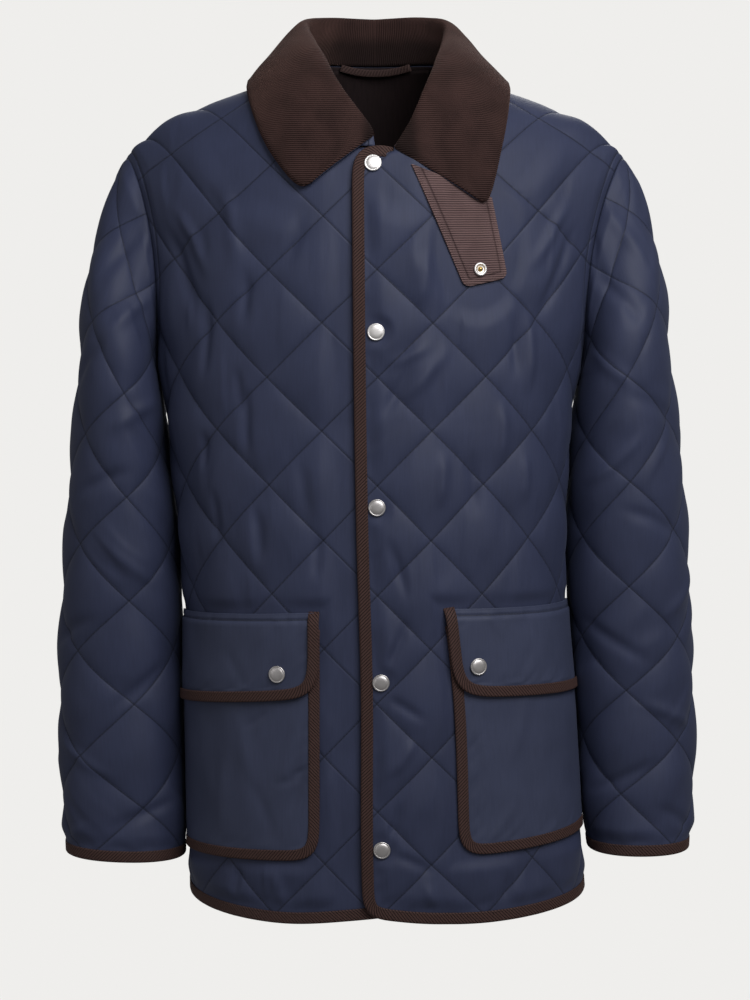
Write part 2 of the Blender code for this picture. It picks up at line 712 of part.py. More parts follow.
def seam_stations():
    """v at the points of a side seam, the same on both panels."""
    return np.linspace(SIDE_HEM - TAPE_WIDTH - GAP, -FRONT_ARMHOLE[0, 1] * meridian(FRONT, 1.0), 18)


def armhole_end(left, angle, way):
    """Where a wall ends at the armhole: its direction, and half a gap to the body's side or the arm's."""
    axis = armhole_axis(left)
    return armhole_out(left, np.array([angle]))[0], way * axis * GAP * 0.6


def armhole_cut(panel, left, turns):
    """A panel's armhole points from the underarm up, and the ends of its wall there."""
    flat = armhole_flat(panel, left, turns)
    flat[-1, 1] += GAP / 2
    angles = turns if panel == BACK else 2 * np.pi - turns
    return flat, [armhole_end(left, angle, -1) for angle in angles]


def front_outline(left):
    """The cut of a front inside its binding, and the ends of its wall at the armhole."""
    side = 1 if left else -1
    half = half_width(FRONT, left, 0.0)
    bound = inset(finished_edge(left), -side * (TAPE_WIDTH + GAP))
    seam_v = seam_stations()
    bound[-1] = [side * (half_width(FRONT, left, seam_v[0]) - GAP / 2), seam_v[0]]
    seam = np.stack([side * (half_width(FRONT, left, seam_v) - GAP / 2), seam_v], axis=-1)
    turns = np.linspace(np.pi, 0, ARMHOLE_STEPS + 1)[1:]
    hole, ends = armhole_cut(FRONT, left, turns)
    shares = np.linspace(SHOULDER_TIP, NECK_SHARE, 8)[1:]
    shoulder = np.stack([side * shares * half, GAP / 2 - meridian(FRONT, shares)], axis=-1)
    end = neck_angle(left, COLLAR_END[left])
    neck = neckline(FRONT, left, np.linspace(np.pi / 2, end, 9)[1:])
    outline = np.concatenate([bound, seam[1:], hole, shoulder, neck])
    corner = len(bound) + len(seam) - 2
    marks = {corner: armhole_end(left, np.pi, -1)}
    marks |= {corner + 1 + i: end for i, end in enumerate(ends)}
    return outline, marks


def back_outline():
    """The cut of the whole back, and the ends of its wall at both armholes."""
    halves = []
    for left in (True, False):
        side = 1 if left else -1
        half = half_width(BACK, left, 0.0)
        seam_v = seam_stations()
        hem_u = np.linspace(0, half_width(BACK, left, seam_v[0]) - GAP / 2, 11)[:-1]
        hem_v = smooth(hem_u, BACK_HEM[:, 0], BACK_HEM[:, 1]) - TAPE_WIDTH - GAP
        hem = np.stack([side * hem_u, hem_v], axis=-1)
        seam = np.stack([side * (half_width(BACK, left, seam_v) - GAP / 2), seam_v], axis=-1)
        turns = np.linspace(np.pi, 0, ARMHOLE_STEPS + 1)[1:]
        hole, ends = armhole_cut(BACK, left, turns)
        shares = np.linspace(SHOULDER_TIP, NECK_SHARE, 8)[1:]
        shoulder = np.stack([side * shares * half, GAP / 2 - meridian(BACK, shares)], axis=-1)
        neck = neckline(BACK, left, np.linspace(np.pi / 2, 0, 7)[1:])
        marks = [armhole_end(left, np.pi, -1), *ends]
        halves.append((np.concatenate([hem, seam, hole, shoulder, neck]), len(hem) + len(seam) - 1, marks))
    (first, corner, marks), (second, other_corner, other_marks) = halves
    outline = np.concatenate([first, second[1:-1][::-1]])
    ends = {corner + i: end for i, end in enumerate(marks)}
    last = len(outline)
    ends |= {last - (other_corner + i): end for i, end in enumerate(other_marks)}
    return outline, ends


def sleeve_outline(left):
    """The cut of a sleeve: its cuff end, its two seam edges and its head, with the ends of its wall."""
    length = sleeve_stations(left)[-1] - TAPE_WIDTH - GAP
    seam_v = np.linspace(length, 0.0, 22)
    half = sleeve_girth(left, seam_v) / 2
    front = np.stack([-half, seam_v], axis=-1)
    back = np.stack([half, seam_v], axis=-1)
    angles = np.linspace(-np.pi, np.pi, 2 * ARMHOLE_STEPS + 1)
    shares = np.sign(angles) * np.interp(np.abs(angles), *SLEEVE_TURN)
    head = np.stack([shares * half[-1], -head_rise(left, angles * (1 - 1e-9))], axis=-1)
    cuff = np.stack([np.linspace(half[0], -half[0], 15)[1:-1], np.full(13, length)], axis=-1)
    outline = np.concatenate([front, head, back[::-1], cuff])
    first = len(front)
    ends = {first + i: armhole_end(left, angle, 1) for i, angle in enumerate(angles)}
    last = first + len(head) + len(back) - 1
    seam_a = [*range(first), first]
    seam_b = [*range(last, last - len(back), -1), first + len(head) - 1]
    return outline, ends, (seam_a, seam_b)


# ---- Pockets, flaps and the throat tab -------------------------------------------------------------------------

# A pocket's edge towards the closing: v against the distance from the middle line.
POCKET_EDGE = {
    False: np.array([(0.150, 0.0508), (0.225, 0.0508), (0.410, 0.0516)]),
    True: np.array([(0.150, 0.0605), (0.225, 0.0692), (0.410, 0.0758)]),
}
# v of a pocket's levels, at its inner edge and at the side seam.
POCKET_LEVELS = {
    False: {"top": (0.1695, 0.1790), "flap": (0.2470, 0.2650), "bottom": (0.3950, 0.4030)},
    True: {"top": (0.1660, 0.1690), "flap": (0.2450, 0.2530), "bottom": (0.3930, 0.3820)},
}
LEVEL_ENDS = (0.06, 0.26)  # distances from the middle line at which the levels are given
POCKET_SIDE = 0.018  # from a pocket's end to the side seam
POCKET_TAPE = {"width": 0.010, "thick": 0.0032}
POCKET_CORNER = 0.018
POCKET_LIFT = 0.0038
PATCH = 0.0018  # thickness of the pockets' and flaps' unquilted cloth
PATCH_GRID = 0.030  # spacing of a pocket's points
FLAP_CORNER = 0.022
FLAP_HANG = 0.016  # the flap's top over the pocket's top
FLAP_SEWN = 0.0037  # the flap's height where it is sewn on
FLAP_OVER = 0.0065  # and over the pocket
FLAP_RISE = 0.0118  # the length in which it gets there
POCKET_CALM = 0.15  # share of the quilting's height that is left under a pocket

# The throat tab's corners and its socket, as x and z on the worn front.
TAB_CORNERS = [(0.0323, -0.0984), (0.0798, -0.2079), (0.1184, -0.1988), (0.1044, -0.1275)]
TAB_SOCKET = (0.0931, -0.1920)
TAB_LIFT = 0.0038
TAB_THICK = 0.0020
TAB_CORNER = 0.007


def level(left, name, u):
    """v of one of a pocket's levels at a distance from the middle line."""
    inner, outer = POCKET_LEVELS[left][name]
    near, far = LEVEL_ENDS
    return inner + (outer - inner) * (np.abs(u) - near) / (far - near)


def pocket_edge(left, v):
    return smooth(v, POCKET_EDGE[left][:, 0], POCKET_EDGE[left][:, 1])


def patch_path(left, bottom, hang, radius):
    """A pocket's or flap's bound edge, down its inner side and along its bottom: distances from the middle, v."""
    near = pocket_edge(left, 0.2)
    first = level(left, "top", near) + hang
    low = level(left, bottom, near)
    down = np.linspace(first, low - radius, round((low - radius - first) / 0.012) + 1)
    inner = np.stack([pocket_edge(left, down), down], axis=-1)
    far = half_width(FRONT, left, low) - POCKET_SIDE
    across = np.linspace(pocket_edge(left, low) + radius, far, 13)
    base = np.stack([across, level(left, bottom, across)], axis=-1)
    corner = np.array([pocket_edge(left, low), level(left, bottom, pocket_edge(left, low))])
    return np.concatenate([inner[:-1], rounded_corner(inner[-2], corner, base[1], radius), base[1:]])


def patch_outline(left, path, hang):
    """The cloth inside a patch's binding, closed along the side seam and the top, as signed u and v."""
    inner = inset(path, -(POCKET_TAPE["width"] + GAP))
    inner[-1, 0] = path[-1, 0]
    first = level(left, "top", inner[0, 0]) + hang
    inner[0, 1] = first
    side_v = np.linspace(inner[-1, 1], level(left, "top", path[-1, 0]) + hang, 6)[1:]
    side = np.stack([np.full(5, path[-1, 0]), side_v], axis=-1)
    across = np.linspace(path[-1, 0], inner[0, 0], 10)[1:-1]
    top = np.stack([across, level(left, "top", across) + hang], axis=-1)
    return np.concatenate([inner, side, top]) * [1 if left else -1, 1]


def flap_lift(left):
    """Height of the flap's outer face: it is sewn down at its top and lies over the pocket below that."""

    def lift(u, v):
        return FLAP_SEWN + (FLAP_OVER - FLAP_SEWN) * ease((v - level(left, "top", u)) / FLAP_RISE)

    return lift


def tab_outline():
    """The throat tab's cut, its two free corners rounded."""
    surface = front_surface(True)
    corners = [locate(surface, x, z, (x, CHEST_Z - z)) for x, z in TAB_CORNERS]
    top_inner, low_inner, low_outer, top_outer = corners
    edge_in = along([top_inner, low_inner], 0.024)[:-1]
    edge_out = along([low_outer, top_outer], 0.024)[1:]
    first = rounded_corner(top_inner, low_inner, low_outer, TAB_CORNER, 3)
    second = rounded_corner(low_inner, low_outer, top_outer, TAB_CORNER, 3)
    top = along([top_outer, top_inner], 0.024)[1:-1]
    return np.concatenate([edge_in, first, second, edge_out, top])


def on_surface(surface, flat, facing, lift):
    """Points at a height over a surface, and the normals there."""
    flat = np.asarray(flat, float)
    out = normals(surface, flat[:, 0], flat[:, 1], facing)
    return surface(flat[:, 0], flat[:, 1]) + out * np.reshape(lift, (-1, 1)), out


# ---- How far the quilting stands off ---------------------------------------------------------------------------

ARM_CALM = 0.65  # share of its height lost where a sleeve and a panel's side lie against each other
COLLAR_CALM = 0.30  # share left under the collar
TAB_CALM = 0.15


def calm_front(left):
    """How much of the quilting's height is left: less under the pocket, the collar, the lap and the arms."""
    side = 1 if left else -1

    def calm(u, v):
        across = side * u
        top, bottom = level(left, "top", u), level(left, "bottom", u)
        into = np.minimum.reduce([across - pocket_edge(left, v) + 0.012, v - top + 0.010, bottom + 0.012 - v])
        pocket = 1 - (1 - POCKET_CALM) * ease((into + 0.012) / 0.010)
        collar = COLLAR_CALM + (1 - COLLAR_CALM) * ease((np.hypot(across - 0.06, v + 0.30) - 0.100) / 0.03)
        arm = 1 - ARM_CALM * ease((np.abs(u) / half_width(FRONT, left, v) - 0.86) / 0.12)
        lap = 1.0 if left else ease((-0.030 - u) / 0.02)
        tab = TAB_CALM + (1 - TAB_CALM) * ease((np.hypot((u - 0.092) * 1.5, v + 0.16) - 0.055) / 0.02) if left else 1.0
        return pocket * np.minimum(collar, tab) * arm * lap

    return calm


def calm_back(u, v):
    half = np.where(u > 0, half_width(BACK, True, v), half_width(BACK, False, v))
    arm = 1 - ARM_CALM * ease((np.abs(u) / half - 0.86) / 0.12)
    collar = COLLAR_CALM + (1 - COLLAR_CALM) * ease((np.hypot(u, (v + 0.37) * 1.4) - 0.100) / 0.03)
    return arm * collar


def calm_sleeve(left):
    """The quilting is pressed where the arm lies against the body."""

    def calm(u, v):
        share = np.abs(u) / (sleeve_girth(left, v) / 2)
        return 1 - ARM_CALM * ease((share - 0.78) / 0.15)

    return calm


# ---- The collar ------------------------------------------------------------------------------------------------

# The inner line of its roll, by station from the centre back (0) over the shoulder seam (1) to the front end (2).
COLLAR_ROLL = {
    False: np.array([
        # station, x, y, z
        (0.00, 0.0000, 0.0830, 0.0470),
        (0.50, 0.0460, 0.0640, 0.0460),
        (0.80, 0.0640, 0.0360, 0.0390),
        (1.00, 0.0620, 0.0120, 0.0290),
        (1.35, 0.0480, -0.0400, 0.0020),
        (1.70, 0.0305, -0.0760, -0.0310),
        (1.85, 0.0135, -0.0885, -0.0520),
        (2.00, 0.0010, -0.0975, -0.0710),
    ]),
    True: np.array([
        (0.00, 0.0000, 0.0830, 0.0470),
        (0.50, 0.0470, 0.0640, 0.0460),
        (0.80, 0.0670, 0.0360, 0.0370),
        (1.00, 0.0650, 0.0100, 0.0230),
        (1.35, 0.0575, -0.0400, -0.0020),
        (1.70, 0.0445, -0.0780, -0.0340),
        (1.85, 0.0335, -0.0920, -0.0560),
        (2.00, 0.0185, -0.1040, -0.0755),
    ]),
}
# Its free edge on the body: distance from the middle, and the way up the back to the shoulder seam (1) and on
# down the front.
COLLAR_EDGE = {
    False: np.array([
        # station, x, over
        (0.00, 0.0000, 0.673),
        (0.25, 0.0340, 0.718),
        (0.50, 0.0680, 0.847),
        (0.80, 0.1020, 0.962),
        (1.05, 0.1160, 1.030),
        (1.35, 0.1120, 1.190),
        (1.60, 0.0950, 1.340),
        (1.88, 0.0640, 1.466),
        (2.00, 0.0546, 1.460),
    ]),
    True: np.array([
        (0.00, 0.0000, 0.673),
        (0.25, 0.0340, 0.718),
        (0.50, 0.0680, 0.847),
        (0.80, 0.1030, 0.965),
        (1.05, 0.1210, 1.030),
        (1.35, 0.1205, 1.180),
        (1.60, 0.1120, 1.330),
        (1.88, 0.0975, 1.476),
        (2.00, 0.0880, 1.474),
    ]),
}
COLLAR_STATIONS = np.array([0, 0.25, 0.5, 0.7, 0.85, 1.0, 1.2, 1.4, 1.6, 1.78, 1.9, 2.0])
STAND_STEPS, FALL_STEPS = 4, 7
COLLAR_LIFT = {False: 0.0056, True: 0.0066}  # of the free edge over the body
UPPER_COLLAR = (0.00020, 0.00240)  # heights of the two cloths over the sheet between them
UNDER_COLLAR = (-0.00140, -0.00020)
LINING_DEEP = 0.0014  # between the back's wall and the lining
LINING_THICK = 0.0010
UNDER_SHORT = 0.0015  # the under collar ends this far before the upper one


def bezier(points, t):
    """A cubic curve through the first and last of four control points."""
    a, b, c, d = points
    t = t[:, None]
    return (1 - t) ** 3 * a + 3 * t * (1 - t) ** 2 * b + 3 * t**2 * (1 - t) * c + t**3 * d


def collar_base(left, station):
    """A point just inside the neckline, from which the collar stands."""
    if station <= 1:
        panel, angle = BACK, station * np.pi / 2
        surface = back_surface
    else:
        end = neck_angle(left, COLLAR_END[left])
        panel, angle = FRONT, np.pi / 2 - (station - 1) * (np.pi / 2 - end)
        surface = front_surface(left)
    u, v = neckline(panel, left, angle)
    here = surface(u, v)
    out = normals(surface, u, v, panel)
    beside = min(angle, np.pi / 2 - 0.03)
    before, after = neckline(panel, left, beside - 0.02), neckline(panel, left, beside + 0.02)
    edge = surface(*after) - surface(*before)
    inward = np.cross(edge, out)
    inward *= np.sign(inward @ (np.array([0, -0.01, 0.05]) - here)) / np.linalg.norm(inward)
    return here + inward * (GAP + 0.0016 * abs(out[2]))


def collar_edge(left, station):
    """A point of the collar's free edge, over the body, and the normal there."""
    x, over = smooth(station, COLLAR_EDGE[left][:, 0], COLLAR_EDGE[left][:, 1:])
    panel = BACK if over <= 1 else FRONT
    surface = back_surface if over <= 1 else front_surface(left)
    share = x / REACH
    u = (1 if left else -1) * share * half_width(panel, left, 0.0)
    v = -min(over, 2 - over) * meridian(panel, share)
    out = normals(surface, u, v, panel)
    return surface(u, v) + out * COLLAR_LIFT[left], out


def collar_rib(left, station):
    """The collar's section at a station: up the stand, over the roll and down the fall."""
    roll = smooth(station, COLLAR_ROLL[left][:, 0], COLLAR_ROLL[left][:, 1:]) * [1 if left else -1, 1, 1]
    base = collar_base(left, station)
    edge, out = collar_edge(left, station)
    up = np.array([0, 0, 1.0])
    tall = np.linalg.norm(roll - base)
    end = ease((station - 1.6) / 0.4)
    stand = bezier(
        [base, base + (roll - base) * 0.35, roll - up * 0.35 * tall, roll], np.linspace(0, 1, STAND_STEPS + 1)
    )
    fall = bezier(
        [roll, roll + up * (0.016 - 0.005 * end) + out * 0.004 * end, edge + (roll - edge) * 0.5 + out * 0.013, edge],
        np.linspace(0, 1, FALL_STEPS + 1) ** 1.25,
    )
    return np.concatenate([stand, fall[1:]])


def sheet_triangles(rows, columns):
    """Two triangles for each square of a grid of points."""
    number = np.arange(rows * columns).reshape(rows, columns)
    corners = [number[:-1, :-1], number[1:, :-1], number[1:, 1:], number[:-1, 1:]]
    a, b, c, d = (corner.ravel() for corner in corners)
    return np.concatenate([np.stack([a, b, c], axis=-1), np.stack([a, c, d], axis=-1)])


def collar_sheet():
    """The surface between the collar's two cloths, from the right front end to the left, and its normals."""
    ribs = [collar_rib(False, station) for station in COLLAR_STATIONS[:0:-1]]
    ribs += [collar_rib(True, station) for station in COLLAR_STATIONS]
    sheet = np.array(ribs)
    points = sheet.reshape(-1, 3)
    triangles = sheet_triangles(*sheet.shape[:2])
    a, b, c = points[triangles].transpose(1, 0, 2)
    flat = np.cross(b - a, c - a)
    flat /= np.linalg.norm(flat, axis=1, keepdims=True)
    out = np.zeros(points.shape)
    for corner in range(3):
        np.add.at(out, triangles[:, corner], flat)
    out = (out / np.linalg.norm(out, axis=1, keepdims=True)).reshape(sheet.shape)
    return sheet, out * np.sign(out[len(sheet) // 2, -2, 2])


def sheet_wall(name, sheet, out, heights, finish):
    """A closed wall between two heights over a grid of points."""
    rows, columns = sheet.shape[:2]
    low, high = (sheet + out * height for height in heights)
    points = np.concatenate([high.reshape(-1, 3), low.reshape(-1, 3)])
    count = rows * columns
    number = np.arange(count).reshape(rows, columns)
    top = sheet_triangles(rows, columns)
    rim = np.concatenate([number[:, 0], number[-1, 1:], number[-2::-1, -1], number[0, -2:0:-1]])
    after = np.roll(rim, -1)
    sides = np.stack([after, rim, rim + count, after + count], axis=-1)
    faces = [*top.tolist(), *(top[:, ::-1] + count).tolist(), *sides.tolist()]
    return add_object(name, points, faces, finish)


# ---- Making the pieces -----------------------------------------------------------------------------------------

for leftover in list(bpy.data.objects):
    bpy.data.objects.remove(leftover)

NAVY = material("navy quilted polyester", "30374C", 0.42)
PLAIN_NAVY = material("navy plain polyester", "2A3346", 0.45)
CORDUROY = material("dark brown corduroy", "382624", 0.85)
TAB_CORDUROY = material("brown corduroy", "5A4442", 0.85)
TWILL = material("brown twill tape", "482C26", 0.75)
LINING = material("black lining", "0E0A0A", 0.6)
STEEL = material("nickel-plated brass", "C9C9C6", 0.25, 1.0)

SNAPS_ON_FRONT = [(-0.0018, -0.0969), (0.0009, -0.2477), (0.0018, -0.4044), (0.0054, -0.5617), (0.0063, -0.7134)]
SNAP_ON_FLAP = {False: (-0.0861, -0.5554), True: (0.0910, -0.5486)}
SEAT = 0.0075  # radius of the flat place under a snap
CAP_PROFILE = [
    # radius, height
    (0.0062, 0.0),
    (0.0078, 0.0014),
    (0.0074, 0.0023),
    (0.0048, 0.0031),
]
SOCKET_PROFILE = [
    (0.0052, 0.0),
    (0.0060, 0.0006),
    (0.0060, 0.0015),
    (0.0053, 0.0020),
    (0.0042, 0.0020),
    (0.0035, 0.0009),
    (0.0022, 0.0009),
    (0.0018, 0.0018),
    (0.0009, 0.0021),
]


def flat_of(surface, place):
    x, z = place
    return locate(surface, x, z, (x, CHEST_Z - z))


def snap(name, surface, flat, lift, profile):
    """A fastener on a panel of the front, a gap over its outer face."""
    points, out = on_surface(surface, [flat], FRONT, lift + GAP)
    turned(name, points[0], out[0], profile, STEEL, steps=12)


def body_panels():
    for left, word in ((True, "left"), (False, "right")):
        outline, ends = front_outline(left)
        seats = [(*flat_of(front_surface(True), place), SEAT) for place in SNAPS_ON_FRONT] if left else []
        wall(f"front_{word}", outline, front_surface(left), FRONT, NAVY, origin=FRONT_NODE, puff=PUFF,
             calm=calm_front(left), seats=seats, edge_out=ends)
        outline, ends, seams = sleeve_outline(left)
        wall(f"sleeve_{word}", outline, sleeve_surface(left), -1 if left else 1, NAVY,
             origin=SLEEVE_NODES[left], puff=PUFF, calm=calm_sleeve(left), edge_out=ends, sewn=seams)
    outline, ends = back_outline()
    wall("back", outline, back_surface, BACK, NAVY, origin=BACK_NODE, puff=PUFF, calm=calm_back, edge_out=ends)


def bindings():
    """The twill tapes that close raw edges: one all round the fronts and the hem, and one on each cuff."""
    half_tape = TAPE_WIDTH / 2
    runs = {}
    for left, word in ((True, "left"), (False, "right")):
        side = 1 if left else -1
        path = inset(finished_edge(left), -side * half_tape)
        path[0] += 3 * GAP * (path[1] - path[0]) / np.linalg.norm(path[1] - path[0])
        path[-1] = [side * half_width(FRONT, left, SIDE_HEM - half_tape), SIDE_HEM - half_tape]
        runs[left] = on_surface(front_surface(left), path, FRONT, -WALL / 2)
        v = sleeve_stations(left)[-1] - half_tape
        u = sleeve_girth(left, v) * (np.arange(22) / 22 - 0.5)
        surface = sleeve_surface(left)
        points, out = on_surface(surface, np.stack([u, np.full(22, v)], axis=-1), -1 if left else 1, -WALL / 2)
        tape(f"cuff_binding_{word}", points, out, TWILL, closed=True)
    ends = [half_width(BACK, left, SIDE_HEM - half_tape) for left in (True, False)]
    u = np.linspace(ends[0], -ends[1], 21)[1:-1]
    v = smooth(np.abs(u), BACK_HEM[:, 0], BACK_HEM[:, 1]) - half_tape
    runs["back"] = on_surface(back_surface, np.stack([u, v], axis=-1), BACK, -WALL / 2)
    parts = [runs[True], runs["back"], [half[::-1] for half in runs[False]]]
    points, out = (np.concatenate(half) for half in zip(*parts))
    tape("edge_binding", points, out, TWILL)


def pockets():
    """Patch pockets with a bound edge, and over each a bound flap with one snap."""
    for left, word in ((True, "left"), (False, "right")):
        surface = front_surface(left)
        mirror = np.array([1 if left else -1, 1])
        width, thick = POCKET_TAPE["width"], POCKET_TAPE["thick"]
        path = patch_path(left, "bottom", FLAP_HANG, POCKET_CORNER)
        wall(f"pocket_{word}", patch_outline(left, path, FLAP_HANG), surface, FRONT, PLAIN_NAVY,
             origin=FRONT_NODE, lift=POCKET_LIFT, thick=PATCH, grid=PATCH_GRID)
        points, out = on_surface(surface, inset(path, -width / 2) * mirror, FRONT, POCKET_LIFT - 0.0007)
        tape(f"pocket_binding_{word}", points, out, TWILL, width=width, thick=thick)
        path = patch_path(left, "flap", 0.0, FLAP_CORNER)
        place = flat_of(surface, SNAP_ON_FLAP[left])
        lift = flap_lift(left)
        outline = patch_outline(left, path, 0.0)
        across = np.linspace(outline[:, 0].min() + 0.008, outline[:, 0].max() - 0.008, 8)
        crease = np.stack([across, level(left, "top", across) + FLAP_RISE], axis=-1)
        wall(f"flap_{word}", outline, surface, FRONT, PLAIN_NAVY, origin=FRONT_NODE, lift=lift, thick=PATCH,
             seats=[(*place, SEAT)], crease=crease)
        middle = inset(path, -width / 2) * mirror
        points, out = on_surface(surface, middle, FRONT, lift(middle[:, 0], middle[:, 1]) + 0.0009)
        tape(f"flap_binding_{word}", points, out, TWILL, width=width, thick=thick)
        snap(f"snap_flap_{word}", surface, place, FLAP_OVER, CAP_PROFILE)


def closing():
    """The front's five snaps, and the throat tab with its socket."""
    surface = front_surface(True)
    for number, place in enumerate(SNAPS_ON_FRONT, start=1):
        snap(f"snap_front_{number}", surface, flat_of(surface, place), 0.0, CAP_PROFILE)
    socket = flat_of(surface, TAB_SOCKET)
    wall("throat_tab", tab_outline(), surface, FRONT, TAB_CORDUROY, origin=FRONT_NODE, lift=TAB_LIFT,
         thick=TAB_THICK, seats=[(*socket, SOCKET_RADIUS)])
    snap("tab_socket", surface, socket, TAB_LIFT, SOCKET_PROFILE)


def neck():
    """The collar's two cloths, the lining that shows below it, and the hanger loop."""
    sheet, out = collar_sheet()
    sheet_wall("upper_collar", sheet, out, UPPER_COLLAR, CORDUROY)
    last = sheet[:, -1] - sheet[:, -2]
    under = sheet.copy()
    under[:, -1] -= UNDER_SHORT * last / np.linalg.norm(last, axis=1, keepdims=True)
    sheet_wall("under_collar", under, out, UNDER_COLLAR, PLAIN_NAVY)

    turns = np.linspace(-np.pi / 2, np.pi / 2, 13)[3:-3]
    edge = np.array([neckline(BACK, turn > 0, abs(turn)) for turn in turns])
    top = edge + [0, 0.004]
    low_v = top[:, 1].max() + 0.12
    low = np.stack([np.linspace(top[-1, 0], top[0, 0], 7), np.full(7, low_v)], axis=-1)
    wall("neck_lining", np.concatenate([top, low]), back_surface, BACK, LINING, origin=BACK_NODE,
         lift=-WALL - LINING_DEEP, thick=LINING_THICK)

    x = np.linspace(-0.036, 0.037, 11)
    z = 0.0055 - 0.0075 * (1 - (x / 0.0365) ** 2)
    flat = np.array([flat_of(back_surface, place) for place in zip(x, z)])
    bow = 0.003 * (1 - (x / 0.0365) ** 2)
    points, out = on_surface(back_surface, flat, BACK, -WALL - LINING_DEEP - LINING_THICK - 0.0018 - bow)
    tape("hanger_loop", points, out, LINING, width=0.007, thick=0.002)


body_panels()
bindings()
pockets()
closing()
neck()
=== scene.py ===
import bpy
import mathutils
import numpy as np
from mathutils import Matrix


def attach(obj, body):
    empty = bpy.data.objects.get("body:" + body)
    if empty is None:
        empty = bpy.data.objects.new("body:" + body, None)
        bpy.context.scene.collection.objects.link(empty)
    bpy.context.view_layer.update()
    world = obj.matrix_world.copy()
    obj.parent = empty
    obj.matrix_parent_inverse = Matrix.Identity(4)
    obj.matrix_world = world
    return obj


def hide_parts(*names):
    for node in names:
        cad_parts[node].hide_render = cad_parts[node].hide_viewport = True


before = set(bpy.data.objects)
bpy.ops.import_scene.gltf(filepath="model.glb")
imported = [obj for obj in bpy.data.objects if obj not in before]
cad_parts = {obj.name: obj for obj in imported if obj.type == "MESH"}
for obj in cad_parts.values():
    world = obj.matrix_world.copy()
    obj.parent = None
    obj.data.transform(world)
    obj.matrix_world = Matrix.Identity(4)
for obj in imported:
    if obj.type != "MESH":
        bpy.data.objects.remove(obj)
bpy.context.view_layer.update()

# %% [markdown]
# # A quilted jacket with a corduroy collar
# The jacket is shown as it is worn, with no wearer. Every cloth piece starts as a flat cut, given by two lengths
# along the cloth: u across it and v down it. One function carries (u, v) onto the worn form, as a tailor's dummy
# would, and the wadding, creases and seams are added as heights over that form. Modelling clay-like by hand
# would also work, but then a diamond of the quilting would not keep its size round the body.

# Driving dimensions, in metres.
QUILT = 0.098  # diagonal of one quilted diamond, across and down
WALL = 0.0025  # stitched-down thickness of a quilted wall
GAP = 0.0003  # between two pieces that are sewn together
TAPE_WIDTH = 0.011
TAPE_THICK = 0.0045
CHEST_Z = -0.330  # where the body's level sections end and its chest and shoulders begin
SHOULDER_Y = 0.008
BODY_POWER = 2.4  # of the body's rounded-square section
SHOULDER_POWER = 2.6  # of the curve from chest to shoulder seam
NECK_HALF = 0.078
NAPE_RISE = 0.075
LAP_LIFT = 0.0055  # the overlapping front over the one beneath
LAP_ENDS = (0.030, 0.075)  # where the lift is full, and where it has gone
SLEEVE_POWER = 2.2
SHOULDER_TIP = 0.918  # share of a panel's half width where the shoulder seam ends
REACH = 0.2576  # distance from the middle that a full half width spreads to at the shoulder
FRONT, BACK = -1, 1  # which way a panel faces along y
# A middling section of the body, and the rise and depth of the curve from chest to shoulder, share out the lengths.
MEAN_WIDTH = 0.186
MEAN_DEPTH = {FRONT: 0.131, BACK: 0.106}
SHOULDER_RISE = 0.30
SHOULDER_DEPTH = {FRONT: 0.115, BACK: 0.095}
TIP_PULL = 0.055  # how much the shoulder's last tenth is drawn in
TIP_FROM = 0.9
ARMHOLE_SPAN = (0.26, 0.30)  # rough lengths of the armhole tables' two shares
PUFF = 0.0052  # how far a diamond's middle stands over its stitches
PINNED = 0.016  # how far from a seam the wadding reaches its full height

# %% [markdown]
# ## The worn form
# A few measured rows say how wide and deep the body is at each height, how the shoulder slopes, where the
# armholes run and how the sleeves hang. A smooth curve through each column fills in what lies between.

# %% Tables of the body, shoulders and armholes
# The body below the arms: height, half width on the wearer's right and left, depth in front and behind.
BODY = np.array([
    # z, right, left, front, back
    (-0.330, 0.1950, 0.1835, 0.1270, 0.1060),
    (-0.386, 0.1885, 0.1800, 0.1300, 0.1030),
    (-0.440, 0.1840, 0.1790, 0.1320, 0.1030),
    (-0.500, 0.1785, 0.1785, 0.1330, 0.1060),
    (-0.600, 0.1780, 0.1870, 0.1340, 0.1120),
    (-0.710, 0.1765, 0.1945, 0.1350, 0.1160),
    (-0.800, 0.1760, 0.2020, 0.1350, 0.1180),
])
# The shoulder seam's height, by distance from the middle.
RIDGE = np.array([
    # x, z
    (0.000, 0.012),
    (0.050, 0.010),
    (0.078, 0.000),
    (0.115, -0.0205),
    (0.165, -0.0395),
    (0.194, -0.0535),
    (0.217, -0.0690),
    (0.237, -0.0860),
    (0.275, -0.1250),
])
# Armholes: share of the panel's half width against share of the way up to the shoulder seam.
FRONT_ARMHOLE = np.array([
    # across, up
    (1.000, 0.150),
    (0.962, 0.172),
    (0.912, 0.225),
    (0.864, 0.310),
    (0.839, 0.420),
    (0.836, 0.540),
    (0.850, 0.660),
    (0.873, 0.780),
    (0.896, 0.890),
    (0.918, 1.000),
])
BACK_ARMHOLE = np.array([
    (1.000, 0.150),
    (0.975, 0.180),
    (0.945, 0.245),
    (0.922, 0.330),
    (0.908, 0.430),
    (0.902, 0.540),
    (0.902, 0.660),
    (0.906, 0.780),
    (0.912, 0.890),
    (0.918, 1.000),
])

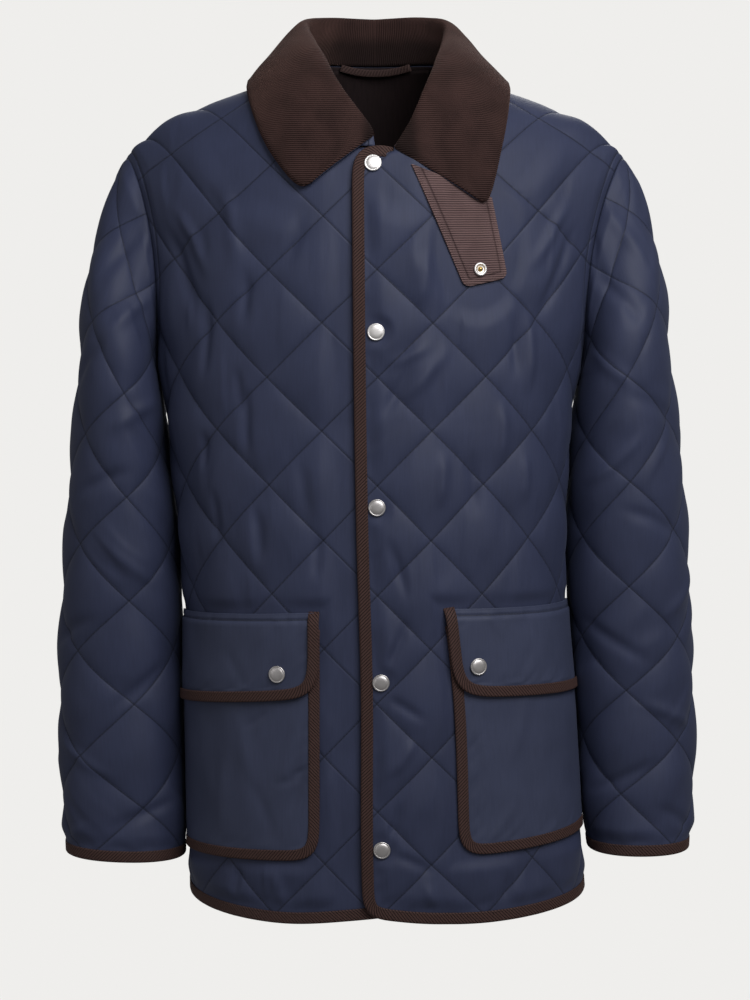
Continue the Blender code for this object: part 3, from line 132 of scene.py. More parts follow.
# %% Tables of the sleeves, ring by ring from underarm to cuff
# Outer point, inner point, half depth and middle in y. The padded cloth's inner side lies close to the body.
RIGHT_SLEEVE = np.array([
    # outer_x, outer_z, inner_x, inner_z, half_depth, centre_y
    (0.2745, -0.258, 0.2030, -0.296, 0.0790, 0.006),
    (0.2810, -0.320, 0.1980, -0.345, 0.0770, 0.006),
    (0.2870, -0.385, 0.1916, -0.400, 0.0740, 0.005),
    (0.2925, -0.455, 0.1860, -0.462, 0.0700, 0.005),
    (0.2975, -0.530, 0.1845, -0.532, 0.0650, 0.005),
    (0.2985, -0.610, 0.1832, -0.610, 0.0600, 0.002),
    (0.2970, -0.680, 0.1815, -0.682, 0.0560, -0.002),
    (0.2945, -0.741, 0.1815, -0.745, 0.0530, -0.007),
])
LEFT_SLEEVE = np.array([
    (0.2740, -0.255, 0.1930, -0.293, 0.0790, 0.008),
    (0.2825, -0.320, 0.1862, -0.345, 0.0770, 0.008),
    (0.2895, -0.385, 0.1838, -0.400, 0.0740, 0.006),
    (0.2945, -0.455, 0.1822, -0.462, 0.0700, 0.006),
    (0.2990, -0.530, 0.1862, -0.532, 0.0650, 0.005),
    (0.3015, -0.610, 0.1922, -0.610, 0.0600, 0.002),
    (0.3020, -0.680, 0.1962, -0.680, 0.0560, -0.002),
    (0.2990, -0.737, 0.2035, -0.738, 0.0530, -0.007),
])

# %% Curves through tables, and rounded squares


def smooth(at, stations, values):
    """A cubic through a table's rows, each slope the mean of its neighbours."""
    at = np.asarray(at, float)
    slopes = np.gradient(values, stations, axis=0)
    i = np.clip(np.searchsorted(stations, at, side="right") - 1, 0, len(stations) - 2)
    span = stations[i + 1] - stations[i]
    t = (at - stations[i]) / span
    if values.ndim > 1:
        t, span = t[..., None], span[..., None]
    return (
        (2 * t**3 - 3 * t**2 + 1) * values[i]
        + (t**3 - 2 * t**2 + t) * span * slopes[i]
        + (3 * t**2 - 2 * t**3) * values[i + 1]
        + (t**3 - t**2) * span * slopes[i + 1]
    )


def ease(t):
    """0 to 1 with level ends."""
    t = np.clip(t, 0.0, 1.0)
    return t * t * (3 - 2 * t)


def rounded(angle, power):
    """Sine and cosine raised, with their signs, so that a circle becomes a rounded square."""
    sine, cosine = np.sin(angle), np.cos(angle)
    return (
        np.sign(sine) * np.abs(sine) ** (2 / power),
        np.sign(cosine) * np.abs(cosine) ** (2 / power),
    )


def arc_table(across, deep, power, turn=np.pi / 2):
    """Angles against share of arc length on a rounded-square arc, and the arc's length."""
    angle = np.linspace(0, turn, 1601)
    sine, cosine = rounded(angle, power)
    steps = np.hypot(np.diff(across * sine), np.diff(deep * cosine))
    lengths = np.concatenate([[0], np.cumsum(steps)])
    return angle, lengths / lengths[-1], lengths[-1]


def section_columns(panel, left):
    """Half width and depth columns of the body's table for one quarter."""
    return BODY[:, 2 if left else 1], BODY[:, 3 if panel == FRONT else 4]
QUARTER = {
    (panel, left): np.array([
        arc_table(width, depth, BODY_POWER)[2] for width, depth in zip(*section_columns(panel, left))
    ])
    for panel in (FRONT, BACK)
    for left in (False, True)
}
AROUND = {
    FRONT: arc_table(MEAN_WIDTH, MEAN_DEPTH[FRONT], BODY_POWER)[:2],
    BACK: arc_table(MEAN_WIDTH, MEAN_DEPTH[BACK], BODY_POWER)[:2],
}
OVER = {
    FRONT: arc_table(SHOULDER_RISE, SHOULDER_DEPTH[FRONT], SHOULDER_POWER)[:2],
    BACK: arc_table(SHOULDER_RISE, SHOULDER_DEPTH[BACK], SHOULDER_POWER)[:2],
}

# %% The body's surface, as a function of (u, v)


def half_width(panel, left, v):
    """Length along the cloth from the middle line to the side seam, v below the chest."""
    down = -np.maximum(v, 0) + CHEST_Z
    return smooth(-down, -BODY[:, 0], QUARTER[panel, left])


def ridge(x, panel):
    """Height of the shoulder line, which rises at the nape on the back."""
    height = smooth(np.abs(x), RIDGE[:, 0], RIDGE[:, 1])
    if panel == BACK:
        height = height + NAPE_RISE * np.clip(1 - (x / NECK_HALF) ** 2, 0, 1) ** 2
    return height


def meridian(panel, share):
    """Length from the chest up to the shoulder seam, by share of the half width."""
    across = np.minimum(np.abs(share), 1) * REACH
    rise = ridge(across, panel) - CHEST_Z
    _, cosine = rounded(np.interp(np.abs(share), AROUND[panel][1], AROUND[panel][0]), BODY_POWER)
    depth = MEAN_DEPTH[panel] * cosine
    # The length of a rounded-square quarter lies close to this mean of its two legs.
    return 0.43 * (rise + depth) + 0.57 * np.hypot(rise, depth)


def body(panel, u, v):
    """The worn body at lengths u across from the middle line and v down from the chest."""
    u, v = np.broadcast_arrays(np.asarray(u, float), np.asarray(v, float))
    left = u >= 0
    low = CHEST_Z - np.maximum(v, 0)
    columns = [section_columns(panel, side) for side in (False, True)]
    width = np.where(
        left,
        smooth(-low, -BODY[:, 0], columns[1][0]),
        smooth(-low, -BODY[:, 0], columns[0][0]),
    )
    depth = smooth(-low, -BODY[:, 0], columns[0][1])
    share = np.abs(u) / np.where(left, half_width(panel, True, v), half_width(panel, False, v))
    past = np.sign(1 - share)
    share = 1 - np.abs(1 - share)
    sine, cosine = rounded(np.interp(share, AROUND[panel][1], AROUND[panel][0]), BODY_POWER)
    x, y = width * sine, depth * cosine * past

    up = np.maximum(-v, 0) / meridian(panel, share)
    over = np.where(up > 1, -1.0, 1.0)
    up = 1 - np.abs(1 - up)
    rise, fall = rounded(np.interp(up, OVER[panel][1], OVER[panel][0]), SHOULDER_POWER)
    reach = REACH * share * (1 - TIP_PULL * np.clip((share - TIP_FROM) / (1 - TIP_FROM), 0, 1) ** 2)
    spread = 1 - (1 - rise ** (SHOULDER_POWER / 2)) ** 1.5
    x = x + (reach - x) * spread
    z = low + (ridge(x, panel) - CHEST_Z) * rise
    y = panel * (y - SHOULDER_Y * panel) * fall * over + SHOULDER_Y
    return np.stack([np.where(left, x, -x), y, z], axis=-1)


def normals(surface, u, v, facing):
    """Unit normals of a surface function by central differences; facing 1 or -1 turns them outwards."""
    step = 0.0005
    across = surface(u + step, v) - surface(u - step, v)
    down = surface(u, v + step) - surface(u, v - step)
    found = np.cross(across, down)
    return facing * found / np.linalg.norm(found, axis=-1, keepdims=True)


def locate(surface, x, z, start=(0.0, 0.0)):
    """The (u, v) whose point has this x and z, by Newton steps."""
    flat = np.array(start, float)
    for _ in range(12):
        here = surface(flat[0], flat[1])[[0, 2]]
        slopes = np.array([
            (surface(flat[0] + 1e-4, flat[1])[[0, 2]] - here) / 1e-4,
            (surface(flat[0], flat[1] + 1e-4)[[0, 2]] - here) / 1e-4,
        ]).T
        flat += np.clip(np.linalg.solve(slopes, np.array([x, z]) - here), -0.05, 0.05)
    return flat

# %% [markdown]
# ## The flat cuts
# A cut's edge is drawn flat, as on a paper pattern: the closing edge, the hem, the neckline, the side seam,
# the armhole and the shoulder seam.

# %% Edges of the fronts and the back
# The closing edge of the overlapping front, and the hem's drop below the chest, both along the cloth.
CLOSING_EDGE = np.array([
    # v, u
    (-0.270, -0.0215),
    (-0.050, -0.0190),
    (0.120, -0.0165),
    (0.240, -0.0130),
    (0.380, -0.0130),
    (0.460, -0.0110),
])
FRONT_HEM = np.array([
    # u, v
    (0.000, 0.4460),
    (0.035, 0.4510),
    (0.065, 0.4545),
    (0.125, 0.4535),
    (0.190, 0.4490),
    (0.270, 0.4440),
])
BACK_HEM = np.array([
    (0.000, 0.4520),
    (0.125, 0.4500),
    (0.270, 0.4440),
])
UNDER_EDGE = 0.026  # the hidden front's edge, past the middle
COLLAR_END = {True: 0.017, False: 0.0}  # where the collar stops on each front, past the middle
NECK_UP = {FRONT: 0.620, BACK: 0.720}  # share of the way to the shoulder seam where the neckline crosses the middle
NECK_DIP = {FRONT: 1.5, BACK: 1.0}  # a higher power keeps the neckline low for longer
NECK_SHARE = NECK_HALF / REACH
TOP_CORNER = {True: 0.026, False: 0.016}
HEM_CORNER = 0.016
CORNER_V = 0.4465  # of the hem's corners at the closing
HEM_START = 0.030  # where the hem leaves its corner
EDGE_V = np.linspace(-0.250, 0.440, 29)
TOP_RISE = 0.006  # of the overlapping front's top corner over the neckline


def neckline(panel, left, angle):
    """Flat points of the neckline, a quarter ellipse from the middle line (0) to the shoulder seam (pi/2)."""
    half = half_width(panel, left, 0.0)
    share = NECK_SHARE * np.sin(angle)
    up = meridian(panel, share)
    low = NECK_UP[panel] * meridian(panel, 0.0)
    high = meridian(panel, NECK_SHARE)
    rise = low + (high - low) * np.abs(1 - np.cos(angle)) ** NECK_DIP[panel]
    return np.stack([(1 if left else -1) * share * half, -np.minimum(rise, up - GAP)], axis=-1)


def neck_angle(left, u):
    """Where on the front neckline a distance past the middle falls."""
    return np.arcsin(abs(u) / (NECK_SHARE * half_width(FRONT, left, 0.0)))


def rounded_corner(before, corner, after, radius, steps=4):
    """An arc-like curve that cuts off a corner at this distance from it."""
    before, corner, after = (np.asarray(p, float) for p in (before, corner, after))
    start = corner + radius * (before - corner) / np.linalg.norm(before - corner)
    end = corner + radius * (after - corner) / np.linalg.norm(after - corner)
    t = np.linspace(0, 1, steps + 1)[:, None]
    return (1 - t) ** 2 * start + 2 * t * (1 - t) * corner + t**2 * end


def inset(points, distance):
    """A polyline moved sideways, to the left of its direction."""
    step = np.gradient(points, axis=0)
    side = np.stack([-step[:, 1], step[:, 0]], axis=-1)
    return points + distance * side / np.linalg.norm(side, axis=1, keepdims=True)


def finished_edge(left):
    """A front's bound edge: from the collar's end round the top corner, down the front, and along the hem."""
    side = 1 if left else -1
    half = half_width(FRONT, left, 0.4)
    if left:
        edge = np.stack([smooth(EDGE_V, CLOSING_EDGE[:, 0], CLOSING_EDGE[:, 1]), EDGE_V], axis=-1)
        top = neckline(FRONT, True, neck_angle(True, COLLAR_END[True]))
    else:
        edge = np.stack([np.full(len(EDGE_V), UNDER_EDGE), EDGE_V], axis=-1)
        top = neckline(FRONT, False, 0.0)
    neck_v = neckline(FRONT, True, 0.0)[1]
    hem_u = np.linspace(HEM_START, half, 11)
    hem = np.stack([side * hem_u, smooth(hem_u, FRONT_HEM[:, 0], FRONT_HEM[:, 1])], axis=-1)
    top_corner = np.array([edge[0, 0], neck_v - (TOP_RISE if left else 0.0)])
    low_corner = np.array([edge[-1, 0], CORNER_V])
    upper = rounded_corner(top, top_corner, edge[2], TOP_CORNER[left])
    lower = rounded_corner(edge[-3], low_corner, hem[0], HEM_CORNER)
    middle = edge[(edge[:, 1] > upper[-1, 1] + 0.008) & (edge[:, 1] < lower[0, 1] - 0.008)]
    return np.concatenate([[top], upper, middle, lower, hem])


def lap_lift(u):
    """How far the overlapping front stands over the one beneath."""
    start, end = LAP_ENDS
    return LAP_LIFT * (1 - ease((u - start) / (end - start)))


def front_surface(left):
    """The form of one front; the wearer's left one is lifted where it overlaps."""

    def surface(u, v):
        points = body(FRONT, u, v)
        if left:
            points[..., 1] -= lap_lift(np.asarray(u, float))
        return points

    return surface


def back_surface(u, v):
    return body(BACK, u, v)

# %% Armholes


def armhole_flat(panel, left, turn):
    """Flat points of a panel's armhole; turn is 0 at the shoulder tip and pi at the underarm, either way round."""
    table = FRONT_ARMHOLE if panel == FRONT else BACK_ARMHOLE
    steps = np.hypot(*(np.diff(table[:, i]) * ARMHOLE_SPAN[i] for i in (0, 1)))
    stations = np.concatenate([[0], np.cumsum(steps)])
    found = smooth((1 - np.asarray(turn) / np.pi) * stations[-1], stations, table)
    side = 1 if left else -1
    across = side * found[..., 0] * half_width(panel, left, 0.0)
    return np.stack([across, -found[..., 1] * meridian(panel, found[..., 0])], axis=-1)


def armhole(left, angle):
    """The armhole's seam line: angle 0 at the shoulder tip, a quarter turn at the back, pi at the underarm."""
    angle = np.mod(np.asarray(angle, float), 2 * np.pi)
    back = armhole_flat(BACK, left, np.minimum(angle, np.pi))
    front = armhole_flat(FRONT, left, np.minimum(2 * np.pi - angle, np.pi))
    on_back = body(BACK, back[..., 0], back[..., 1])
    on_front = front_surface(left)(front[..., 0], front[..., 1])
    return np.where((angle <= np.pi)[..., None], on_back, on_front)


def armhole_axis(left):
    """Unit direction in which an arm leaves the armhole's plane."""
    tip, back, under, front = armhole(left, np.arange(4) * np.pi / 2)
    axis = np.cross(tip - under, front - back)
    axis *= np.sign(axis[0]) * (1 if left else -1)
    return axis / np.linalg.norm(axis)


def armhole_out(left, angle):
    """Unit directions in the armhole's plane, away from its middle: both walls that meet there end along them."""
    step = 0.02
    tangent = armhole(left, angle + step) - armhole(left, angle - step)
    out = np.cross(tangent, armhole_axis(left))
    out /= np.linalg.norm(out, axis=-1, keepdims=True)
    middle = armhole(left, np.arange(8) * np.pi / 4).mean(axis=0)
    return out * np.sign(np.sum(out * (armhole(left, angle) - middle), axis=-1, keepdims=True))

# %% Sleeves
SLEEVES = {False: RIGHT_SLEEVE, True: LEFT_SLEEVE}
SLEEVE_TURN = arc_table(0.068, 0.050, SLEEVE_POWER, np.pi)[:2]


def sleeve_stations(left):
    """Length down the sleeve of each row of its table."""
    table = SLEEVES[left]
    middles = np.stack([table[:, 0] + table[:, 2], table[:, 1] + table[:, 3]], axis=-1) / 2
    return np.concatenate([[0], np.cumsum(np.linalg.norm(np.diff(middles, axis=0), axis=1))])


def sleeve_girth(left, v):
    """Length round the sleeve."""
    table = SLEEVES[left]
    across = np.hypot(table[:, 0] - table[:, 2], table[:, 1] - table[:, 3]) / 2
    girths = np.array([2 * arc_table(d, a, SLEEVE_POWER, np.pi)[2] for d, a in zip(table[:, 4], across)])
    return smooth(np.maximum(v, 0), sleeve_stations(left), girths)


def sleeve_ring(left, angle, v):
    """Points on the sleeve's rings: angle 0 on its outer line, a quarter turn at the back, pi at its inner seam."""
    side = 1 if left else -1
    row = smooth(v, sleeve_stations(left), SLEEVES[left])
    sine, cosine = rounded(angle, SLEEVE_POWER)
    x = (row[..., 0] + row[..., 2]) / 2 + (row[..., 0] - row[..., 2]) / 2 * cosine
    z = (row[..., 1] + row[..., 3]) / 2 + (row[..., 1] - row[..., 3]) / 2 * cosine
    return np.stack([side * x, row[..., 5] + row[..., 4] * sine, z], axis=-1)


def sleeve_head(left, angle, t):
    """The sleeve's head: t is 0 at the underarm's ring and 1 at the armhole, on a curve that leaves both smoothly."""
    angle, t = np.broadcast_arrays(np.asarray(angle, float), np.asarray(t, float))
    ring = sleeve_ring(left, angle, np.zeros(angle.shape))
    seam = armhole(left, angle)
    length = np.linalg.norm(ring - seam, axis=-1, keepdims=True)
    centres = sleeve_ring(left, np.array([0, np.pi]), np.zeros(2)).mean(axis=0)
    below = sleeve_ring(left, np.array([0, np.pi]), np.full(2, 0.06)).mean(axis=0)
    up = (centres - below) / np.linalg.norm(centres - below)
    out = 0.42 * armhole_axis(left) + np.array([0, 0, -0.9])
    out /= np.linalg.norm(out)
    t = t[..., None]
    return (
        (1 - t) ** 3 * ring
        + 3 * t * (1 - t) ** 2 * (ring + up * length * 0.36)
        + 3 * t**2 * (1 - t) * (seam + out * length * 0.36)
        + t**3 * seam
    )
HEAD_TURNS = np.linspace(-np.pi, np.pi, 129)
HEAD_RISE = {}
for wearers_left in (False, True):
    along_head = sleeve_head(wearers_left, HEAD_TURNS[:, None], np.linspace(0, 1, 13)[None, :])
    HEAD_RISE[wearers_left] = np.linalg.norm(np.diff(along_head, axis=1), axis=2).sum(axis=1)


def head_rise(left, angle):
    """Length along the cloth from the underarm's ring up to the armhole."""
    return np.interp(np.mod(angle + np.pi, 2 * np.pi) - np.pi, HEAD_TURNS, HEAD_RISE[left])


def sleeve_turn(share):
    """Angle round the sleeve by share of its half girth, counted from the outer line towards the back."""
    share = np.mod(share + 1, 2) - 1
    return np.sign(share) * np.interp(np.abs(share), SLEEVE_TURN[1], SLEEVE_TURN[0])


def sleeve_surface(left):
    """The form of one sleeve: u round it from the outer line, v down it from the underarm."""

    def surface(u, v):
        u, v = np.broadcast_arrays(np.asarray(u, float), np.asarray(v, float))
        angle = sleeve_turn(u / (sleeve_girth(left, v) / 2))
        arm = sleeve_ring(left, angle, np.maximum(v, 0))
        head = sleeve_head(left, angle, np.maximum(-v, 0) / head_rise(left, angle))
        return np.where((v >= 0)[..., None], arm, head)

    return surface

# %% Pockets, flaps and the throat tab
SIDE_HEM = 0.4440  # the finished hem at the side seams
FRONT_NODE = (0.002, 0.055)  # crossings of the quilting's lines
BACK_NODE = (0.0, 0.055)
SLEEVE_NODES = {False: (-0.0605, 0.170), True: (-0.055, 0.160)}
# A pocket's edge towards the closing: v against the distance from the middle line.
POCKET_EDGE = {
    False: np.array([(0.150, 0.0508), (0.225, 0.0508), (0.410, 0.0516)]),
    True: np.array([(0.150, 0.0605), (0.225, 0.0692), (0.410, 0.0758)]),
}
# v of a pocket's levels, at its inner edge and at the side seam.
POCKET_LEVELS = {
    False: {"top": (0.1695, 0.1790), "flap": (0.2470, 0.2650), "bottom": (0.3950, 0.4030)},
    True: {"top": (0.1660, 0.1690), "flap": (0.2450, 0.2530), "bottom": (0.3930, 0.3820)},
}
LEVEL_ENDS = (0.06, 0.26)  # distances from the middle line at which the levels are given
POCKET_SIDE = 0.022  # from a pocket's end to the side seam
POCKET_TAPE = {"width": 0.010, "thick": 0.0032}
POCKET_CORNER = 0.018
POCKET_LIFT = 0.0038
PATCH = 0.0018  # thickness of the pockets' and flaps' unquilted cloth
FLAP_CORNER = 0.022
FLAP_HANG = 0.016  # the flap's top over the pocket's top
FLAP_SEWN = 0.0037  # the flap's height where it is sewn on
FLAP_OVER = 0.0065  # and over the pocket
FLAP_RISE = 0.0118  # the length in which it gets there
POCKET_CALM = 0.30  # share of the quilting's height that is left under a pocket
# The throat tab's corners and its socket, as x and z on the worn front.
TAB_CORNERS = [(0.0323, -0.0984), (0.0798, -0.2079), (0.1184, -0.1988), (0.1044, -0.1275)]
TAB_SOCKET = (0.0931, -0.1920)
TAB_LIFT = 0.0038
TAB_THICK = 0.0020
TAB_CORNER = 0.007
ARM_CALM = 0.65  # share of its height lost where a sleeve and a panel's side lie against each other
COLLAR_CALM = 0.30  # share left under the collar
TAB_CALM = 0.15


def level(left, name, u):
    """v of one of a pocket's levels at a distance from the middle line."""
    inner, outer = POCKET_LEVELS[left][name]
    near, far = LEVEL_ENDS
    return inner + (outer - inner) * (np.abs(u) - near) / (far - near)


def pocket_edge(left, v):
    return smooth(v, POCKET_EDGE[left][:, 0], POCKET_EDGE[left][:, 1])


def patch_path(left, bottom, hang, radius):
    """A pocket's or flap's bound edge, down its inner side and along its bottom: distances from the middle, v."""
    near = pocket_edge(left, 0.2)
    first = level(left, "top", near) + hang
    low = level(left, bottom, near)
    down = np.linspace(first, low - radius, round((low - radius - first) / 0.012) + 1)
    inner = np.stack([pocket_edge(left, down), down], axis=-1)
    far = half_width(FRONT, left, low) - POCKET_SIDE
    across = np.linspace(pocket_edge(left, low) + radius, far, 13)
    base = np.stack([across, level(left, bottom, across)], axis=-1)
    corner = np.array([pocket_edge(left, low), level(left, bottom, pocket_edge(left, low))])
    return np.concatenate([inner[:-1], rounded_corner(inner[-2], corner, base[1], radius), base[1:]])


def flap_lift(left):
    """Height of the flap's outer face: it is sewn down at its top and lies over the pocket below that."""

    def lift(u, v):
        over = FLAP_OVER - 0.0009 * ease((np.abs(u) / half_width(FRONT, left, v) - 0.70) / 0.15)
        return FLAP_SEWN + (over - FLAP_SEWN) * ease((v - level(left, "top", u)) / FLAP_RISE)

    return lift


def on_surface(surface, flat, facing, lift):
    """Points at a height over a surface, and the normals there."""
    flat = np.asarray(flat, float)
    out = normals(surface, flat[:, 0], flat[:, 1], facing)
    return surface(flat[:, 0], flat[:, 1]) + out * np.reshape(lift, (-1, 1)), out

# %% Where the quilting is pressed flat


def calm_front(left):
    """How much of the quilting's height is left: less under the pocket, the collar, the lap and the arms."""
    side = 1 if left else -1

    def calm(u, v):
        across = side * u
        top, bottom = level(left, "top", u), level(left, "bottom", u)
        into = np.minimum.reduce([across - pocket_edge(left, v), v - top, bottom - v])
        by_arm = ease((np.abs(u) / half_width(FRONT, left, v) - 0.86) / 0.12)
        pocket = 1 - (1 - POCKET_CALM) * ease((into + 0.015) / 0.013) * (1 - by_arm)
        collar = COLLAR_CALM + (1 - COLLAR_CALM) * ease((np.hypot(across - 0.06, v + 0.30) - 0.100) / 0.03)
        arm = 1 - ARM_CALM * by_arm
        lap = 1.0 if left else ease((-0.030 - u) / 0.02)
        tab = TAB_CALM + (1 - TAB_CALM) * ease((np.hypot((u - 0.092) * 1.5, v + 0.16) - 0.055) / 0.02) if left else 1.0
        return pocket * np.minimum(collar, tab) * arm * lap

    return calm


def calm_back(u, v):
    half = np.where(u > 0, half_width(BACK, True, v), half_width(BACK, False, v))
    arm = 1 - ARM_CALM * ease((np.abs(u) / half - 0.86) / 0.12)
    collar = COLLAR_CALM + (1 - COLLAR_CALM) * ease((np.hypot(u, (v + 0.37) * 1.4) - 0.100) / 0.03)
    return arm * collar


def calm_sleeve(left):
    """The quilting is pressed where the arm lies against the body."""

    def calm(u, v):
        share = np.abs(u) / (sleeve_girth(left, v) / 2)
        return 1 - ARM_CALM * ease((share - 0.78) / 0.15)

    return calm

# %% The collar's lines
# The inner line of its roll, by station from the centre back (0) over the shoulder seam (1) to the front end (2).
COLLAR_ROLL = {
    False: np.array([
        # station, x, y, z
        (0.00, 0.0000, 0.0830, 0.0470),
        (0.50, 0.0460, 0.0640, 0.0460),
        (0.80, 0.0640, 0.0360, 0.0390),
        (1.00, 0.0620, 0.0120, 0.0290),
        (1.35, 0.0480, -0.0400, 0.0020),
        (1.70, 0.0305, -0.0760, -0.0310),
        (1.85, 0.0135, -0.0885, -0.0520),
        (2.00, 0.0010, -0.0975, -0.0710),
    ]),
    True: np.array([
        (0.00, 0.0000, 0.0830, 0.0470),
        (0.50, 0.0470, 0.0640, 0.0460),
        (0.80, 0.0670, 0.0360, 0.0370),
        (1.00, 0.0650, 0.0100, 0.0230),
        (1.35, 0.0575, -0.0400, -0.0020),
        (1.70, 0.0445, -0.0780, -0.0340),
        (1.85, 0.0335, -0.0925, -0.0590),
        (2.00, 0.0182, -0.1055, -0.0835),
    ]),
}
# Its free edge on the body: distance from the middle, and the way up the back to the shoulder seam (1) and on
# down the front.
COLLAR_EDGE = {
    False: np.array([
        # station, x, over
        (0.00, 0.0000, 0.673),
        (0.25, 0.0340, 0.718),
        (0.50, 0.0680, 0.847),
        (0.80, 0.1020, 0.962),
        (1.05, 0.1160, 1.030),
        (1.35, 0.1120, 1.190),
        (1.60, 0.0950, 1.340),
        (1.88, 0.0640, 1.466),
        (2.00, 0.0546, 1.460),
    ]),
    True: np.array([
        (0.00, 0.0000, 0.673),
        (0.25, 0.0340, 0.718),
        (0.50, 0.0680, 0.847),
        (0.80, 0.1030, 0.965),
        (1.05, 0.1210, 1.030),
        (1.35, 0.1205, 1.180),
        (1.60, 0.1120, 1.330),
        (1.88, 0.0975, 1.476),
        (2.00, 0.0880, 1.474),
    ]),
}
COLLAR_LIFT = {False: 0.0056, True: 0.0066}  # of the free edge over the body
UPPER_COLLAR = (0.00020, 0.00240)  # heights of the two cloths over the sheet between them
UNDER_COLLAR = (-0.00140, -0.00020)
LINING_DEEP = 0.0014  # between the back's wall and the lining
LINING_THICK = 0.0010
UNDER_SHORT = 0.0015  # the under collar ends this far before the upper one


def bezier(points, t):
    """A cubic curve through the first and last of four control points."""
    a, b, c, d = points
    t = t[:, None]
    return (1 - t) ** 3 * a + 3 * t * (1 - t) ** 2 * b + 3 * t**2 * (1 - t) * c + t**3 * d


def collar_base(left, station):
    """A point just inside the neckline, from which the collar stands."""
    if station <= 1:
        panel, angle = BACK, station * np.pi / 2
        surface = back_surface
    else:
        end = neck_angle(left, COLLAR_END[left])
        panel, angle = FRONT, np.pi / 2 - (station - 1) * (np.pi / 2 - end)
        surface = front_surface(left)
    u, v = neckline(panel, left, angle)
    here = surface(u, v)
    out = normals(surface, u, v, panel)
    beside = min(angle, np.pi / 2 - 0.03)
    before, after = neckline(panel, left, beside - 0.02), neckline(panel, left, beside + 0.02)
    edge = surface(*after) - surface(*before)
    inward = np.cross(edge, out)
    inward *= np.sign(inward @ (np.array([0, -0.01, 0.05]) - here)) / np.linalg.norm(inward)
    return here + inward * (GAP + 0.0016 * abs(out[2]))


def collar_edge(left, station):
    """A point of the collar's free edge, over the body, and the normal there."""
    x, over = smooth(station, COLLAR_EDGE[left][:, 0], COLLAR_EDGE[left][:, 1:])
    panel = BACK if over <= 1 else FRONT
    surface = back_surface if over <= 1 else front_surface(left)
    share = x / REACH
    u = (1 if left else -1) * share * half_width(panel, left, 0.0)
    v = -min(over, 2 - over) * meridian(panel, share)
    out = normals(surface, u, v, panel)
    return surface(u, v) + out * COLLAR_LIFT[left], out
SNAPS_ON_FRONT = [(-0.0018, -0.0969), (0.0009, -0.2477), (0.0018, -0.4044), (0.0054, -0.5617), (0.0063, -0.7134)]
SNAP_ON_FLAP = {False: (-0.0861, -0.5554), True: (0.0910, -0.5486)}


def flat_of(surface, place):
    x, z = place
    return locate(surface, x, z, (x, CHEST_Z - z))

# %% [markdown]
# ## From flat cuts to cloth
# A grid of points fills each cut, so that one row of code can raise the wadding and sink the seams everywhere.
# The wall is closed: a fine outer grid, an inner one with every second row and column, and a rim between them.

# %% Filling a cut
def resample(points, count, place=2):
    """The same line with this many points, evenly spaced by its first columns, its place; the others follow."""
    points = np.asarray(points, float)
    steps = np.linalg.norm(np.diff(points[:, :place], axis=0), axis=1)
    lengths = np.concatenate([[0], np.cumsum(steps)])
    at = np.linspace(0, lengths[-1], count)
    return np.stack([np.interp(at, lengths, column) for column in points.T], axis=-1)


def patch(bottom, top, inner, outer, rows, columns):
    """Points inside four edges: opposite edges are blended straight across, both ways, and the blend of the four
    corners, which was counted twice, is taken away (a Coons patch)."""
    s = np.linspace(0, 1, columns)[None, :, None]
    t = np.linspace(0, 1, rows)[:, None, None]
    bottom, top = (resample(np.asarray(line)[:, :2], columns)[None] for line in (bottom, top))
    inner, outer = (resample(np.asarray(line)[:, :2], rows)[:, None] for line in (inner, outer))
    corners = (1 - t) * ((1 - s) * bottom[:, :1] + s * bottom[:, -1:])
    corners = corners + t * ((1 - s) * top[:, :1] + s * top[:, -1:])
    return (1 - t) * bottom + t * top + (1 - s) * inner + s * outer - corners


def off_line(line, points):
    """Each point's distance to the nearest stretch of a polyline, worked out in slices to save memory."""
    start, edge = line[:-1], np.diff(line, axis=0)
    size = (edge**2).sum(axis=1) + 1e-16
    flat, found = points.reshape(-1, 2), []
    for some in np.array_split(flat, len(flat) // 12000 + 1):
        away = some[:, None] - start
        t = np.clip((away * edge).sum(axis=2) / size, 0, 1)
        found.append(np.linalg.norm(away - t[..., None] * edge, axis=2).min(axis=1))
    return np.concatenate(found).reshape(points.shape[:2])


